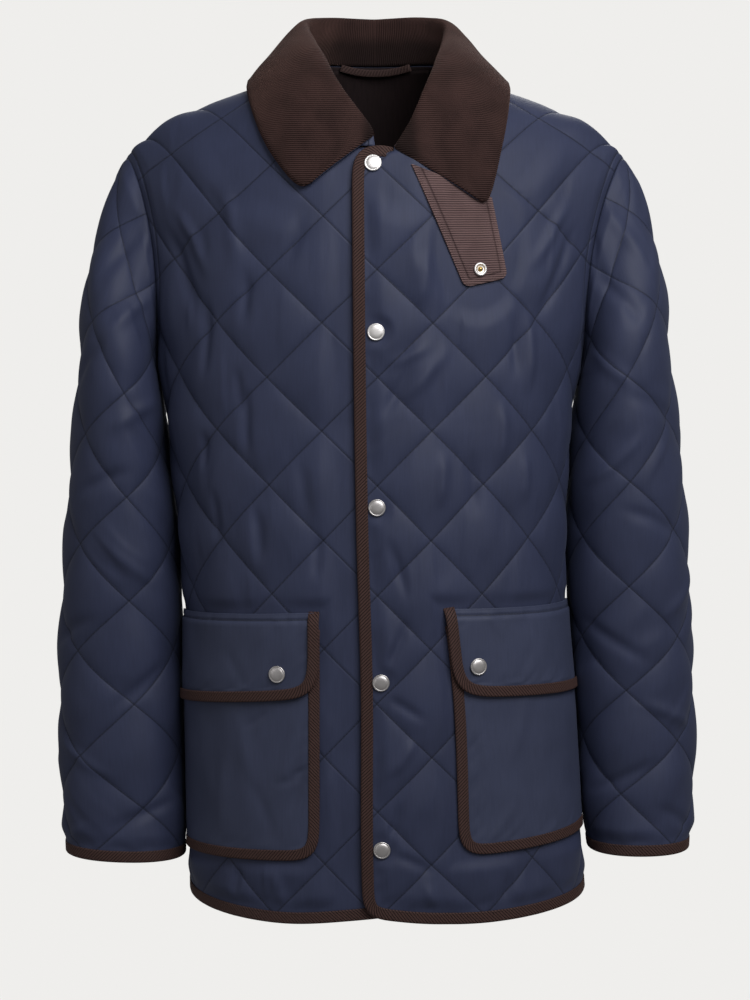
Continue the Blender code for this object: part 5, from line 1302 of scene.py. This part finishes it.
# %% Placed folds of the sleeves; u is counted from the outer line, minus in front
SLEEVE_FOLDS = {
    False: [
        (-0.075, -0.100, 20, 0.110, 0.0075, -0.0022), (-0.105, -0.050, 35, 0.090, 0.0070, 0.0022),
        (-0.060, 0.010, 40, 0.080, 0.0060, -0.0020), (-0.120, 0.040, 55, 0.090, 0.0065, 0.0020),
        (-0.085, 0.110, 60, 0.080, 0.0060, -0.0020), (-0.110, 0.185, -50, 0.080, 0.0060, 0.0018),
        (-0.050, 0.250, 62, 0.080, 0.0060, -0.0020), (-0.115, 0.300, 48, 0.090, 0.0060, -0.0018),
        (-0.060, 0.370, -58, 0.080, 0.0060, 0.0020), (-0.110, 0.420, 66, 0.080, 0.0055, -0.0020),
        (-0.045, 0.445, 52, 0.060, 0.0055, 0.0018), (-0.070, -0.180, 12, 0.070, 0.0060, -0.0016),
        (0.070, -0.080, -30, 0.110, 0.0070, -0.0022), (0.050, 0.060, -50, 0.090, 0.0065, 0.0020),
        (0.090, 0.190, 48, 0.090, 0.0065, -0.0020), (0.060, 0.320, -60, 0.080, 0.0060, 0.0020),
        (0.090, 0.420, 56, 0.080, 0.0060, -0.0018),
    ],
    True: [
        (-0.070, -0.110, 18, 0.110, 0.0075, 0.0022), (-0.100, -0.060, 30, 0.100, 0.0070, -0.0022),
        (-0.120, 0.000, 44, 0.090, 0.0065, 0.0022), (-0.070, 0.050, 58, 0.090, 0.0060, -0.0020),
        (-0.115, 0.090, -54, 0.080, 0.0060, 0.0020), (-0.080, 0.150, 62, 0.090, 0.0060, -0.0020),
        (-0.050, 0.220, -48, 0.080, 0.0060, 0.0018), (-0.115, 0.260, 56, 0.090, 0.0060, -0.0020),
        (-0.065, 0.330, 64, 0.080, 0.0060, 0.0020), (-0.105, 0.390, -60, 0.080, 0.0055, -0.0018),
        (-0.050, 0.430, 58, 0.070, 0.0055, -0.0018), (0.060, -0.090, -28, 0.110, 0.0070, -0.0022),
        (0.080, 0.040, -52, 0.090, 0.0065, 0.0020), (0.050, 0.170, 50, 0.090, 0.0065, -0.0020),
        (0.090, 0.300, -58, 0.080, 0.0060, 0.0020), (0.060, 0.410, 60, 0.080, 0.0060, -0.0018),
    ],
}

# %% The sleeves' grids
def add_sleeve(left, rows=283, columns=168):
    word, facing = ("left", -1) if left else ("right", 1)
    long = sleeve_stations(left)[-1] - TAPE_WIDTH + UNDER_TAPE
    shares = (np.arange(columns) * 2 / columns - 1)[None, :] * np.ones((rows, 1))
    angle = sleeve_turn(shares[0])
    rise = head_rise(left, angle)
    down = np.linspace(0, 1, rows)[:, None] * (long + rise.mean())
    t = down / (long + rise.mean())
    split = long / (long + rise.mean())
    v = np.where(t < split, long - t / split * long, -(t - split) / (1 - split) * rise[None, :] * (1 - 1e-9))
    flat = np.stack([shares * sleeve_girth(left, v) / 2, v], axis=-1)
    top = np.abs(v + rise[None, :])
    edge = np.minimum(top, long - v)
    p, q, pillow, height = quilting(
        flat, SLEEVE_NODES[left], 41 if left else 51, crease=(0.016, 0.075, 0.75), depth=0.0021
    )
    height += 1.25 * folds(flat, SLEEVE_FOLDS[left])
    cuff = np.maximum(long - v - UNDER_TAPE, 0)
    height *= calm_sleeve(left)(flat[..., 0], v) * ease(np.minimum(top, cuff) / PINNED)
    height += 0.0008 * ripple(flat[..., 0] / 0.007, cuff / 0.05, 8) * np.exp(-cuff / 0.014) * ease(cuff / 0.004)
    height += 0.0010 * ripple(flat[..., 0] / 0.010, top / 0.05, 9) * np.exp(-top / 0.016) * ease(edge / 0.006)
    height -= 0.0012 * (1 - ease(edge / 0.0035))
    way = np.broadcast_to(armhole_out(left, angle)[None], (rows, columns, 3))
    grids = carry(flat, sleeve_surface(left), facing, height, WALL, (way, 1 - ease(top / 0.010)))
    values = attributes(flat, edge, p, q, pillow)
    made = add_wall(
        f"quilted_sleeve_{word}", *grids, [QUILTED, LINING], "navy_quilted", [f"sleeve_{word}"], wrap=True, **values
    )
    girths = sleeve_girth(left, np.linspace(0, long, 50))
    size = (float(girths.max()), float(long + rise.max()))
    area = float(girths.mean() * long + girths[0] * rise.mean())
    return size, area


for left in (False, True):
    print("sleeve cut:", add_sleeve(left))

# %% [markdown]
# ## Twill bindings
# Raw edges are closed with a tape folded round them and sewn through all layers. The tape is a thin closed shell
# with a U for its section, carried along the edge; its stitches are small grains set one by one.

# %% A folded tape along a path
STITCHES = []  # middle, direction along and direction out of each stitch
RING_STEP = 0.004  # between the rings of a tape's section


def smoothed(line, closed=False, passes=4):
    """Each point moves to the mean of itself, twice, and its two neighbours; open ends stay."""
    for _ in range(passes):
        moved = (2 * line + np.roll(line, 1, axis=0) + np.roll(line, -1, axis=0)) / 4
        if not closed:
            moved[0], moved[-1] = line[0], line[-1]
        line = moved
    return line


def tape_section(width, thick, cloth):
    """The U as (towards the fold, outwards) points: its outer face from one free end round the fold to the other,
    then its inner face back, one cloth thickness inside."""
    half, high = width / 2, thick / 2
    flat = np.linspace(-half, half - high, 7)[:-1]
    dome = high * (0.86 + 0.14 * np.cos(np.pi * (flat + 0.1 * half) / width) ** 0.5)
    turn = np.linspace(np.pi / 2, -np.pi / 2, 9)
    fold = np.stack([half - high + high * np.cos(turn), high * np.sin(turn)], axis=-1)
    outer = np.concatenate([np.stack([flat, dome], -1), fold, np.stack([flat, -dome], -1)[::-1]])
    inner = outer - cloth * np.stack([np.clip((outer[:, 0] - half + high) / high, 0, 1), np.sign(outer[:, 1])], -1)
    return outer, inner


def add_tape(name, lines, stands_for, finish=None, width=TAPE_WIDTH, thick=TAPE_THICK, cloth=0.0008, closed=False):
    """A tape along a line of nine columns: the tape's middle, the direction out, and the edge that it folds
    round. Rings of the section stand every 4 mm; every 3.2 mm a stitch lies near its free end."""
    lines = np.concatenate([lines, lines[:1]]) if closed else lines
    length = np.linalg.norm(np.diff(lines[:, :3], axis=0), axis=1).sum()
    count = round(length / RING_STEP) + 1
    lines = resample(lines, count, 3)
    lines = smoothed(lines[:-1] if closed else lines, closed)
    middle, out, edge = lines[:, :3], lines[:, 3:6], lines[:, 6:]
    if not closed:  # both ends are tucked in
        from_end = np.minimum(np.arange(len(middle)), np.arange(len(middle))[::-1]) * length / len(middle)
        middle = middle - out * 0.003 * ease(1 - from_end / 0.008)[:, None]
    ahead = (np.roll(middle, -1, axis=0) - np.roll(middle, 1, axis=0)) if closed else np.gradient(middle, axis=0)
    ahead /= np.linalg.norm(ahead, axis=1, keepdims=True)
    across = np.cross(ahead, out)
    across /= np.linalg.norm(across, axis=1, keepdims=True)
    out = np.cross(across, ahead)
    fold = across * np.sign(((edge - middle) * across).sum())
    out = out * np.sign((out * lines[:, 3:6]).sum())
    outer, inner = tape_section(width, thick, cloth)
    section = np.concatenate([outer, inner[::-1]])
    soft = 1 + 0.05 * ripple(np.arange(len(middle)) / 2.3, np.zeros(len(middle)), 3)[:, None, None]
    points = middle[:, None] + fold[:, None] * section[None, :, :1] + out[:, None] * section[None, :, 1:] * soft
    rows, columns = points.shape[:2]
    quads = grid_quads(rows, columns, wrap=True)
    faces = [quads]
    if closed:
        last = (rows - 1) * columns + np.arange(columns)
        faces.append(np.stack([last, np.roll(last, -1), np.roll(np.arange(columns), -1), np.arange(columns)], -1))
    else:
        k = np.arange(columns // 2 - 1)
        cap = np.stack([k, k + 1, columns - 2 - k, columns - 1 - k], -1)
        faces += [cap[:, ::-1], (rows - 1) * columns + cap]
    along = np.arange(rows) * length / (rows if closed else rows - 1)
    along = along * round(length / RIB) * RIB / length
    around = np.concatenate([[0], np.cumsum(np.linalg.norm(np.diff(section, axis=0), axis=1))])
    cloth_at = np.stack(np.broadcast_arrays(along[:, None], around[None], 0.0), axis=-1)
    made = add_piece(name, points, faces, [finish or TAPE], "twill_tape", stands_for, cloth=cloth_at)
    at = np.arange(0.002, length - 0.002, STITCH) / length * (rows - 1)
    pick = lambda line: np.stack([np.interp(at, np.arange(rows), column) for column in line.T], axis=-1)
    seat = pick(middle) + pick(fold) * (0.0014 - width / 2) + pick(out) * (thick / 2 * 0.96)
    STITCHES.append(np.stack([seat, pick(ahead), pick(out)], axis=1))
    return made, length


def lay(surface, facing, middle, free, lift):
    """The nine columns of a tape: its middle and the edge it folds round, both flat lines, put on a form."""
    count = max(2, round(np.linalg.norm(np.diff(middle, axis=0), axis=1).sum() / 0.004))
    middle, free = resample(middle, count), resample(free, count)
    lift = lift(middle[:, 0], middle[:, 1]) if callable(lift) else np.full(count, lift)
    points, out = on_surface(surface, middle, facing, lift)
    return np.concatenate([points, out, surface(free[:, 0], free[:, 1])], axis=1)


# %% The bindings of the fronts, the hem and the cuffs
half_tape, runs = TAPE_WIDTH / 2, {}
for left in (False, True):
    side, word, facing = (1, "left", -1) if left else (-1, "right", 1)
    edge = smoothed(finished_edge(left), passes=1)
    middle = inset(edge, -side * half_tape)
    middle[0] += 3 * GAP * (middle[1] - middle[0]) / np.linalg.norm(middle[1] - middle[0])
    middle[-1] = [side * half_width(FRONT, left, SIDE_HEM - half_tape), SIDE_HEM - half_tape]
    runs[left] = lay(front_surface(left), FRONT, middle, edge, -WALL / 2)
    v = sleeve_stations(left)[-1] - half_tape
    u = sleeve_girth(left, v) * (np.arange(90) / 90 - 0.5)
    cuff = np.stack([u, np.full(90, v)], axis=-1)
    ring = lay(sleeve_surface(left), facing, cuff, cuff + [0, half_tape], -WALL / 2)
    made, length = add_tape(f"cuff_tape_{word}", ring, [f"cuff_binding_{word}"], closed=True)
u = np.linspace(half_width(BACK, True, SIDE_HEM), -half_width(BACK, False, SIDE_HEM), 81)[1:-1]
hem = np.stack([u, smooth(np.abs(u), BACK_HEM[:, 0], BACK_HEM[:, 1]) - half_tape], axis=-1)
behind = lay(back_surface, BACK, hem, hem + [0, half_tape], -WALL / 2)
round_jacket = np.concatenate([runs[True], behind, runs[False][::-1]])
made, length = add_tape("edge_tape", round_jacket, ["edge_binding"])

# %% [markdown]
# ## Pockets and flaps
# The patch pockets and their flaps are cut from the unquilted shell cloth, bound like the edges, and sewn on over
# the quilting, which is pressed flat beneath them. A flap is topstitched along its upper edge.

# %% Cuts of the pockets and flaps
POCKET_FOLDS = {
    False: [
        (-0.080, 0.300, -14, 0.110, 0.0060, 0.0014), (-0.070, 0.330, -22, 0.060, 0.0040, -0.0010),
        (-0.125, 0.290, 10, 0.080, 0.0070, 0.0011), (-0.105, 0.350, 24, 0.070, 0.0060, -0.0010),
        (-0.150, 0.340, -8, 0.090, 0.0070, 0.0012), (-0.066, 0.312, -59, 0.034, 0.0030, -0.0020),
        (-0.078, 0.322, -72, 0.040, 0.0040, -0.0012), (-0.110, 0.268, -52, 0.040, 0.0035, -0.0010),
    ],
    True: [
        (0.100, 0.300, 12, 0.100, 0.0060, 0.0012), (0.086, 0.345, 26, 0.070, 0.0050, -0.0011),
        (0.135, 0.280, -16, 0.090, 0.0065, 0.0012), (0.150, 0.350, 10, 0.070, 0.0060, -0.0010),
        (0.115, 0.365, -40, 0.060, 0.0050, 0.0010), (0.120, 0.215, -8, 0.040, 0.0045, 0.0008),
    ],
}
FLAP_FOLDS = {
    False: [(-0.095, 0.185, -40, 0.050, 0.0045, 0.0008), (-0.130, 0.225, 30, 0.060, 0.0060, -0.0008)],
    True: [(0.110, 0.180, 35, 0.050, 0.0045, 0.0008), (0.140, 0.220, -30, 0.060, 0.0060, -0.0008)],
}


def add_patch(name, left, path, hang, lift, table, finish, stands_for, width):
    """A cut bounded by its bound edge, a top line at a level, and a straight side; it is split at the rounded
    corner for its grid. Soft noise stands for its looseness, and the tape puckers its rim."""
    inner = inset(path, UNDER_TAPE - 0.001 - width)
    inner[-1, 0] = path[-1, 0]
    inner[0, 1] = level(left, "top", inner[0, 0]) + hang
    corner = np.argmin(np.hypot(inner[:, 0] - inner[0, 0], inner[:, 1] - inner[-1, 1]))
    across = np.linspace(inner[0, 0], path[-1, 0], 30)
    top = np.stack([across, level(left, "top", across) + hang], axis=-1)
    side = np.linspace(inner[-1], top[-1], 12)
    flat = patch(inner[corner:], top, inner[: corner + 1][::-1], side, 101, 87)
    flat[..., 0] *= 1 if left else -1
    mirror = np.array([1 if left else -1, 1])
    edge = off_line(np.concatenate([inner, side[1:], top[::-1]]) * mirror, flat)
    taped = np.maximum(off_line(inner * mirror, flat) - UNDER_TAPE + 0.001, 0)
    below = flat[..., 1] - level(left, "top", flat[..., 0]) - hang
    inside = np.minimum(edge, taped)
    height = 0.9 * folds(flat, table) * ease(inside / 0.008)
    height += 0.0008 * ripple(flat[..., 0] / 0.020, flat[..., 1] / 0.034, 71) * ease(inside / 0.014)
    pucker = ripple((flat[..., 0] + flat[..., 1]) / 0.007, taped / 0.05, 72)
    height += 0.0007 * pucker * np.exp(-taped / 0.011) * ease(taped / 0.003)
    if hang == 0:
        height -= 0.0009 * np.exp(-(((below - TOPSTITCH) / 0.0016) ** 2))
        height += 0.0005 * ripple(flat[..., 0] / 0.005, below / 0.05, 73) * np.exp(-np.abs(below - TOPSTITCH) / 0.006)
        place = np.array(flat_of(front_surface(left), SNAP_ON_FLAP[left]))
        height *= ease((np.hypot(*(flat - place).transpose(2, 0, 1)) - 0.006) / 0.010)
    surface = front_surface(left)
    lift = lift(flat[..., 0], flat[..., 1]) if callable(lift) else lift
    grids = carry(flat, surface, FRONT, height, PATCH, lift=lift)
    values = attributes(flat, edge + 0.01, seam=below if hang == 0 else None, along=flat[..., 0])
    made = add_wall(name, *grids, [finish], "navy_plain", stands_for, **values)
    size, area = flat_size(flat)
    return size, area


# %% Both pockets with their flaps and tapes
for left in (False, True):
    word, mirror = ("left", np.array([1, 1])) if left else ("right", np.array([-1, 1]))
    surface, wide, thick = front_surface(left), POCKET_TAPE["width"], POCKET_TAPE["thick"]
    for part, bottom, hang, radius, lift, table in (
        ("pocket", "bottom", FLAP_HANG, POCKET_CORNER, POCKET_LIFT, POCKET_FOLDS),
        ("flap", "flap", 0.0, FLAP_CORNER, flap_lift(left), FLAP_FOLDS),
    ):
        path = smoothed(patch_path(left, bottom, hang, radius), passes=2)
        cut = add_patch(f"{part}_cloth_{word}", left, path, hang, lift, table[left], PLAIN, [f"{part}_{word}"], wide)
        print(f"{part} cut:", cut)
        rise = 0.0009 if part == "flap" else -0.0007
        over = (lambda u, v, lift=lift: lift(u, v) + 0.0009) if callable(lift) else lift + rise
        run = lay(surface, FRONT, inset(path, -wide / 2) * mirror, path * mirror, over)
        made, length = add_tape(
            f"{part}_tape_{word}", run, [f"{part}_binding_{word}"], width=wide, thick=thick, cloth=0.0006
        )

# %% [markdown]
# ## The throat tab and the snaps
# A corduroy tab sewn under the collar's left end closes the throat in bad weather; here it hangs open and shows its
# snap socket. The caps on the front are pressed discs with a rolled rim: shapes turned from a profile.

# %% Turned fasteners
def add_turned(name, centre, out, profile, finish, stands_for=(), steps=40):
    """A profile of (radius, height) turned about the direction out; both ends are on the axis, so each pole is
    one point joined to its ring by triangles."""
    profile = np.array(profile)
    side = np.cross(out, [0, 0, 1.0])
    side /= np.linalg.norm(side)
    turn = np.arange(steps) * 2 * np.pi / steps
    ring = np.cos(turn)[:, None] * side + np.sin(turn)[:, None] * np.cross(side, out)
    body_rings = centre + profile[1:-1, None, :1] * ring + profile[1:-1, None, 1:] * out
    poles = centre + profile[[0, -1], 1:] * out
    rows = len(profile) - 2
    first, last, k = rows * steps, rows * steps + 1, np.arange(steps)
    low = np.stack([np.roll(k, -1), k, np.full(steps, first)], -1)
    high = (rows - 1) * steps + np.stack([k, np.roll(k, -1), np.full(steps, 0)], -1)
    high[:, 2] = last
    points = np.concatenate([body_rings.reshape(-1, 3), poles])
    return add_piece(name, points, [grid_quads(rows, steps, wrap=True), low, high], [finish], "nickel", stands_for)


CAP = np.array([
    # radius, height, in mm: a flat back, a rolled rim, a fine groove inside it and a low dome
    (0, 0), (6.2, 0), (7.2, 0.3), (7.7, 0.8), (7.8, 1.3), (7.65, 1.8), (7.3, 2.15), (6.9, 2.2), (6.55, 2.0),
    (6.35, 1.95), (6.1, 2.1), (5.4, 2.5), (4.2, 2.75), (2.8, 2.9), (1.4, 2.95), (0, 2.96),
]) / 1000
SOCKET_RING = np.array([
    (0, 0), (5.2, 0), (6.0, 0.5), (6.1, 1.2), (5.8, 1.8), (5.2, 2.1), (4.5, 2.0), (4.0, 1.5), (3.7, 0.9),
    (3.2, 0.75), (0, 0.75),
]) / 1000
SOCKET_POST = np.array(
    [(0, 0.8), (2.3, 0.8), (2.4, 1.2), (2.1, 1.7), (1.7, 2.2), (1.1, 2.6), (0.5, 2.75), (0, 2.8)]
) / 1000
surface = front_surface(True)
for number, place in enumerate(SNAPS_ON_FRONT, start=1):
    points, out = on_surface(surface, [flat_of(surface, place)], FRONT, GAP)
    # The two top caps take the nickel painted lighter as highlight, the lower caps the nickel painted darker as shade.
    add_turned(f"cap_{number}", points[0], out[0], CAP, NICKEL if number < 3 else SHADED_NICKEL, [f"snap_front_{number}"])
for left in (False, True):
    word = "left" if left else "right"
    # The flap caps take the nickel painted darker as shade.
    points, out = on_surface(
        front_surface(left), [flat_of(front_surface(left), SNAP_ON_FLAP[left])], FRONT, FLAP_OVER + GAP
    )
    add_turned(f"flap_cap_{word}", points[0], out[0], CAP, SHADED_NICKEL, [f"snap_flap_{word}"])

# %% The throat tab
tab = [flat_of(surface, place) for place in TAB_CORNERS]
first = rounded_corner(tab[0], tab[1], tab[2], TAB_CORNER, 8)
second = rounded_corner(tab[1], tab[2], tab[3], TAB_CORNER, 8)
low = np.concatenate([first[4:], second[:5]])
flat = patch(
    low, [tab[0], tab[3]], np.concatenate([first[:5], [tab[0]]])[[4, 3, 2, 1, 0, 5]],
    np.concatenate([second[4:], [tab[3]]]), 121, 91
)
loop = np.concatenate([[tab[0]], first, second, [tab[3]]])
edge = off_line(loop, flat)
socket = np.array(flat_of(surface, TAB_SOCKET))
away = np.hypot(*(flat - socket).transpose(2, 0, 1))
height = -0.0010 * (1 - ease(edge / 0.003)) - 0.0003 * np.exp(-(((edge - TOPSTITCH) / 0.0015) ** 2))
height += (0.0006 * ripple(flat[..., 0] / 0.018, flat[..., 1] / 0.03, 81) + 0.0004) * ease(edge / 0.012)
height *= ease((away - 0.005) / 0.008)
grids = carry(flat, surface, FRONT, height, TAB_THICK, lift=TAB_LIFT)
values = attributes(flat[..., ::-1], edge, seam=edge)
made = add_wall("tab_cloth", *grids, [TAB_CORDUROY], "tab_corduroy", ["throat_tab"], **values)
points, out = on_surface(surface, [socket], FRONT, TAB_LIFT + GAP)
add_turned("socket_ring", points[0], out[0], SOCKET_RING, NICKEL, ["tab_socket"])
add_turned("socket_post", points[0], out[0], SOCKET_POST, BRASS, steps=24)

# %% [markdown]
# ## The collar
# A stand rises from the neckline, rolls over and falls as two leaves. Its section is two joined Bezier curves,
# whose end points run along measured lines; corduroy lies above the sheet between them, and plain cloth below.

# %% The collar's sheet
STAND_STEPS, FALL_STEPS, COLLAR_STEPS = 14, 42, 80


def collar_rib(left, station):
    """The collar's section at a station: up the stand, over the roll and down the fall."""
    roll = smooth(station, COLLAR_ROLL[left][:, 0], COLLAR_ROLL[left][:, 1:]) * [1 if left else -1, 1, 1]
    base = collar_base(left, station)
    edge, out = collar_edge(left, station)
    up = np.array([0, 0, 1.0])
    tall = np.linalg.norm(roll - base)
    end = ease((station - 1.6) / 0.4)
    stand = bezier(
        [base, base + (roll - base) * 0.35, roll - up * 0.35 * tall, roll], np.linspace(0, 1, STAND_STEPS + 1)
    )
    fall = bezier(
        [
            roll, roll + up * (0.021 - 0.024 * end) + out * 0.004 * end,
            edge + (roll - edge) * 0.5 + out * (0.013 - 0.006 * end), edge
        ],
        np.linspace(0, 1, FALL_STEPS + 1) ** 1.25,
    )
    return np.concatenate([stand, fall[1:]])


stations = np.linspace(0, 2, COLLAR_STEPS + 1)
sheet = np.array([collar_rib(False, s) for s in stations[:0:-1]] + [collar_rib(True, s) for s in stations])
sheet = smoothed(sheet, passes=3)
out = np.cross(np.gradient(sheet, axis=0), np.gradient(sheet, axis=1))
out /= np.linalg.norm(out, axis=-1, keepdims=True)
out *= np.sign(out[len(sheet) // 2, STAND_STEPS + FALL_STEPS // 2, 1])
steps_down = np.linalg.norm(np.diff(sheet, axis=1), axis=2)
down = np.concatenate([np.zeros((len(sheet), 1)), np.cumsum(steps_down, axis=1)], axis=1)
steps_round = np.linalg.norm(np.diff(sheet, axis=0), axis=2)
run = np.concatenate([np.zeros((1, sheet.shape[1])), np.cumsum(steps_round, axis=0)])
free, ends = down[:, -1:] - down, np.minimum(run, run[-1:] - run)
edge = np.minimum(free, ends)
print("collar, round its edge and down its middle:", run[-1, -1], down[len(sheet) // 2, -1])

# %% Corduroy above, plain cloth below
# The wales stand upright behind the neck, so they lie nearly level on the leaves in front.
middle = STAND_STEPS + FALL_STEPS // 2
lying = ease((np.abs(np.linspace(-2, 2, len(sheet))) - 1.0) / 0.6)[:, None]
round_neck = np.abs(run[:, middle] - run[len(sheet) // 2, middle])[:, None]
level_wale = -1.15 * sheet[..., 2]
meet = (round_neck - level_wale[:, middle : middle + 1])[
    np.abs(np.abs(np.linspace(-2, 2, len(sheet))) - 1.3) < 0.1
].mean()
wale = (1 - lying) * round_neck + lying * (level_wale + meet)
soft = 0.0005 * ripple(run / 0.03, down / 0.02, 91) * ease(edge / 0.01)
rim = 1 - np.sqrt(np.clip(1 - (1 - np.clip(edge / 0.0022, 0, 1)) ** 2, 0, 1))
top = UPPER_COLLAR[1] + soft - 0.0020 * rim
values = {
    "cloth": np.stack([wale, down, edge], axis=-1),
    "seam": np.stack([edge + 1.0, run, edge], axis=-1),
    "neck_shade": (1 - ease((down - 0.018) / 0.016))[..., None] * np.ones(3),  # painted shade: the pile is darker low in the stand, inside the neck, where the shade falls
}
grids = sheet + out * top[..., None], sheet + out * (UPPER_COLLAR[0] + 0.0 * top)[..., None]
made = add_wall("collar_cloth", *grids, [CORDUROY], "corduroy", ["upper_collar"], **values)
short = down / down[:, -1:] * (down[:, -1:] - UNDER_SHORT)
below = np.stack(
    [[np.interp(short[i], down[i], sheet[i, :, k]) for k in range(3)] for i in range(len(sheet))]
).transpose(0, 2, 1)
grids = below + out * UNDER_COLLAR[1], below + out * UNDER_COLLAR[0]
values = {
    "cloth": np.stack([run, down, edge + 0.01], -1), "quilt": np.zeros(run.shape + (3,)),
    "seam": np.stack([edge, run, edge], -1)
}
made = add_wall("under_collar_cloth", *grids, [PLAIN], "navy_plain", ["under_collar"], **values)

# %% [markdown]
# ## Inside the neck
# Black lining covers the back panel's inside, and a small tape loop is sewn across it for the hook. The whole jacket
# is lined, but only this part shows, so only this part is a separate piece.

# %% Lining and hanger loop
turns = np.linspace(-np.pi / 4, np.pi / 4, 41)
top = np.array([neckline(BACK, turn > 0, abs(turn)) for turn in turns]) + [0, 0.004]
low = np.stack([np.linspace(top[0, 0], top[-1, 0], 41), np.full(41, top[:, 1].max() + 0.12)], axis=-1)
flat = patch(low, top, [low[0], top[0]], [low[-1], top[-1]], 61, 61)
edge = off_line(np.concatenate([low, top[::-1], low[:1]]), flat)
height = 0.0005 * ripple(flat[..., 0] / 0.016, flat[..., 1] / 0.05, 95) * ease(edge / 0.01)
grids = carry(flat, back_surface, BACK, height, LINING_THICK, lift=-WALL - LINING_DEEP)
made = add_wall("neck_lining_cloth", *grids, [LINING], "lining", ["neck_lining"], **attributes(flat, edge))

x = np.linspace(-0.036, 0.037, 31)
sag = 1 - (x / 0.0365) ** 2
flat = np.array([flat_of(back_surface, place) for place in zip(x, 0.0085 - 0.0045 * sag)])
lift = -WALL - LINING_DEEP - LINING_THICK - 0.0018 - 0.003 * sag
points, out = on_surface(back_surface, flat, BACK, lift)
turn = np.arange(16) * 2 * np.pi / 16
sine, cosine = rounded(turn, 4.0)
ahead = np.gradient(points, axis=0)
across = np.cross(ahead, out)
across /= np.linalg.norm(across, axis=1, keepdims=True)
band = points[:, None] + 0.0035 * across[:, None] * cosine[None, :, None] + 0.0009 * out[:, None] * sine[None, :, None]
k = np.arange(7)
cap = np.stack([k, k + 1, 14 - k, 15 - k], -1)
faces = [grid_quads(31, 16, wrap=True), cap[:, ::-1], 30 * 16 + cap]
length = float(np.linalg.norm(np.diff(points, axis=0), axis=1).sum())
at = np.stack(np.broadcast_arrays(np.linspace(0, length, 31)[:, None], (turn * 0.0025)[None], 0.0), axis=-1)
made = add_piece("hanger_tape", band, faces, [LOOP], "lining", ["hanger_loop"], cloth=at)

# %% [markdown]
# ## The tapes' stitches
# Each stitch is a grain of twelve points: two tips and two rings of five.

# %% All stitches in one mesh
def add_grains(name, seats, finish):
    """Twelve points a stitch, placed by its middle, its direction and the direction out."""
    turn = np.arange(5) * 2 * np.pi / 5
    rings = [np.stack([np.full(5, x), 0.24 * np.cos(turn), 0.20 * np.sin(turn)], -1) for x in (-0.8, 0.8)]
    grain = np.concatenate([[[-1.25, 0, -0.15]], *rings, [[1.25, 0, -0.15]]]) / 1000
    middle, ahead, out = seats[:, 0], seats[:, 1], seats[:, 2]
    ahead = ahead / np.linalg.norm(ahead, axis=1, keepdims=True)
    frames = np.stack([ahead, np.cross(out, ahead), out], axis=1)
    points = middle[:, None] + grain @ frames
    k, n = np.arange(5), (np.arange(5) + 1) % 5
    three = np.concatenate(
        [np.stack([np.zeros(5, int), 1 + n, 1 + k], -1), np.stack([6 + k, 6 + n, np.full(5, 11)], -1)]
    )
    four = np.stack([1 + k, 1 + n, 6 + n, 6 + k], -1)
    first = 12 * np.arange(len(seats))[:, None, None]
    return add_piece(
        name, points, [(three + first).reshape(-1, 3), (four + first).reshape(-1, 4)], [finish], "twill_tape"
    )


add_grains("tape_stitches", np.concatenate(STITCHES), THREAD)

# %% [markdown]
# ## Studio
# A pale floor well below the jacket, soft light from the upper right and a weaker one from the left.

# %% Floor, lights and camera
FLOOR = -1.35
k = np.arange(4)
corners = np.array([(-9, -9, FLOOR), (9, -9, FLOOR), (9, 9, FLOOR), (-9, 9, FLOOR)], float)
mesh = bpy.data.meshes.new("floor")
mesh.from_pydata(corners.tolist(), [], [(0, 1, 2, 3)])
floor = bpy.data.objects.new("floor", mesh)
bpy.context.scene.collection.objects.link(floor)
floor.visible_diffuse = floor.visible_glossy = False  # its glow doesn't reach the jacket
paper, tree, inputs = new_material(
    "pale paper, lit from beneath", Roughness=1.0, Specular_IOR_Level=0.0, Emission_Strength=1.0
)
inputs["Emission Color"].default_value = linear("EFEEEC")
grain = node(tree, "TexNoise", {0: node(tree, "TexCoord", {}, "Object"), "Scale": 60.0})
finish(tree, inputs, grain, "010101", "020202", grain)
mesh.materials.append(paper)
bpy.context.scene.view_settings.view_transform = "Standard"

world = bpy.data.worlds.new("studio")
bpy.context.scene.world = world
world.use_nodes = True
tree = world.node_tree
seen = tree.nodes["Background"]
seen.inputs[0].default_value = linear("EFEEEC")
# The camera sees a bright paper wall, and the jacket is lit by a dimmer room.
strength = node(tree, "MapRange", {0: node(tree, "LightPath", {}, "Is Camera Ray"), 3: 0.20, 4: 1.0})
tree.links.new(strength, seen.inputs[1])


def add_light(name, place, size, power):
    """A square area light at a place, turned to the jacket's middle: its -z axis points there."""
    made = bpy.data.objects.new(name, bpy.data.lights.new(name, "AREA"))
    made.data.size, made.data.energy = size, power
    made.location = place
    made.rotation_euler = (
        mathutils.Vector((0, 0, -0.38)) - mathutils.Vector(place)
    ).to_track_quat("-Z", "Y").to_euler()
    bpy.context.scene.collection.objects.link(made)


add_light("key", (0.75, -1.45, 0.95), 1.3, 35)
add_light("fill", (-2.2, -1.6, 0.2), 1.6, 6)
add_light("rim", (0.3, 2.2, 1.3), 1.6, 26)
camera = bpy.data.objects.new("camera", bpy.data.cameras.new("camera"))
camera.location = (0, -2.30, -0.24617)
camera.rotation_euler = (np.pi / 2 - np.radians(4), 0, 0)
camera.data.lens, camera.data.sensor_fit, camera.data.sensor_height = 87.37, "VERTICAL", 36
bpy.context.scene.collection.objects.link(camera)
bpy.context.scene.camera = camera
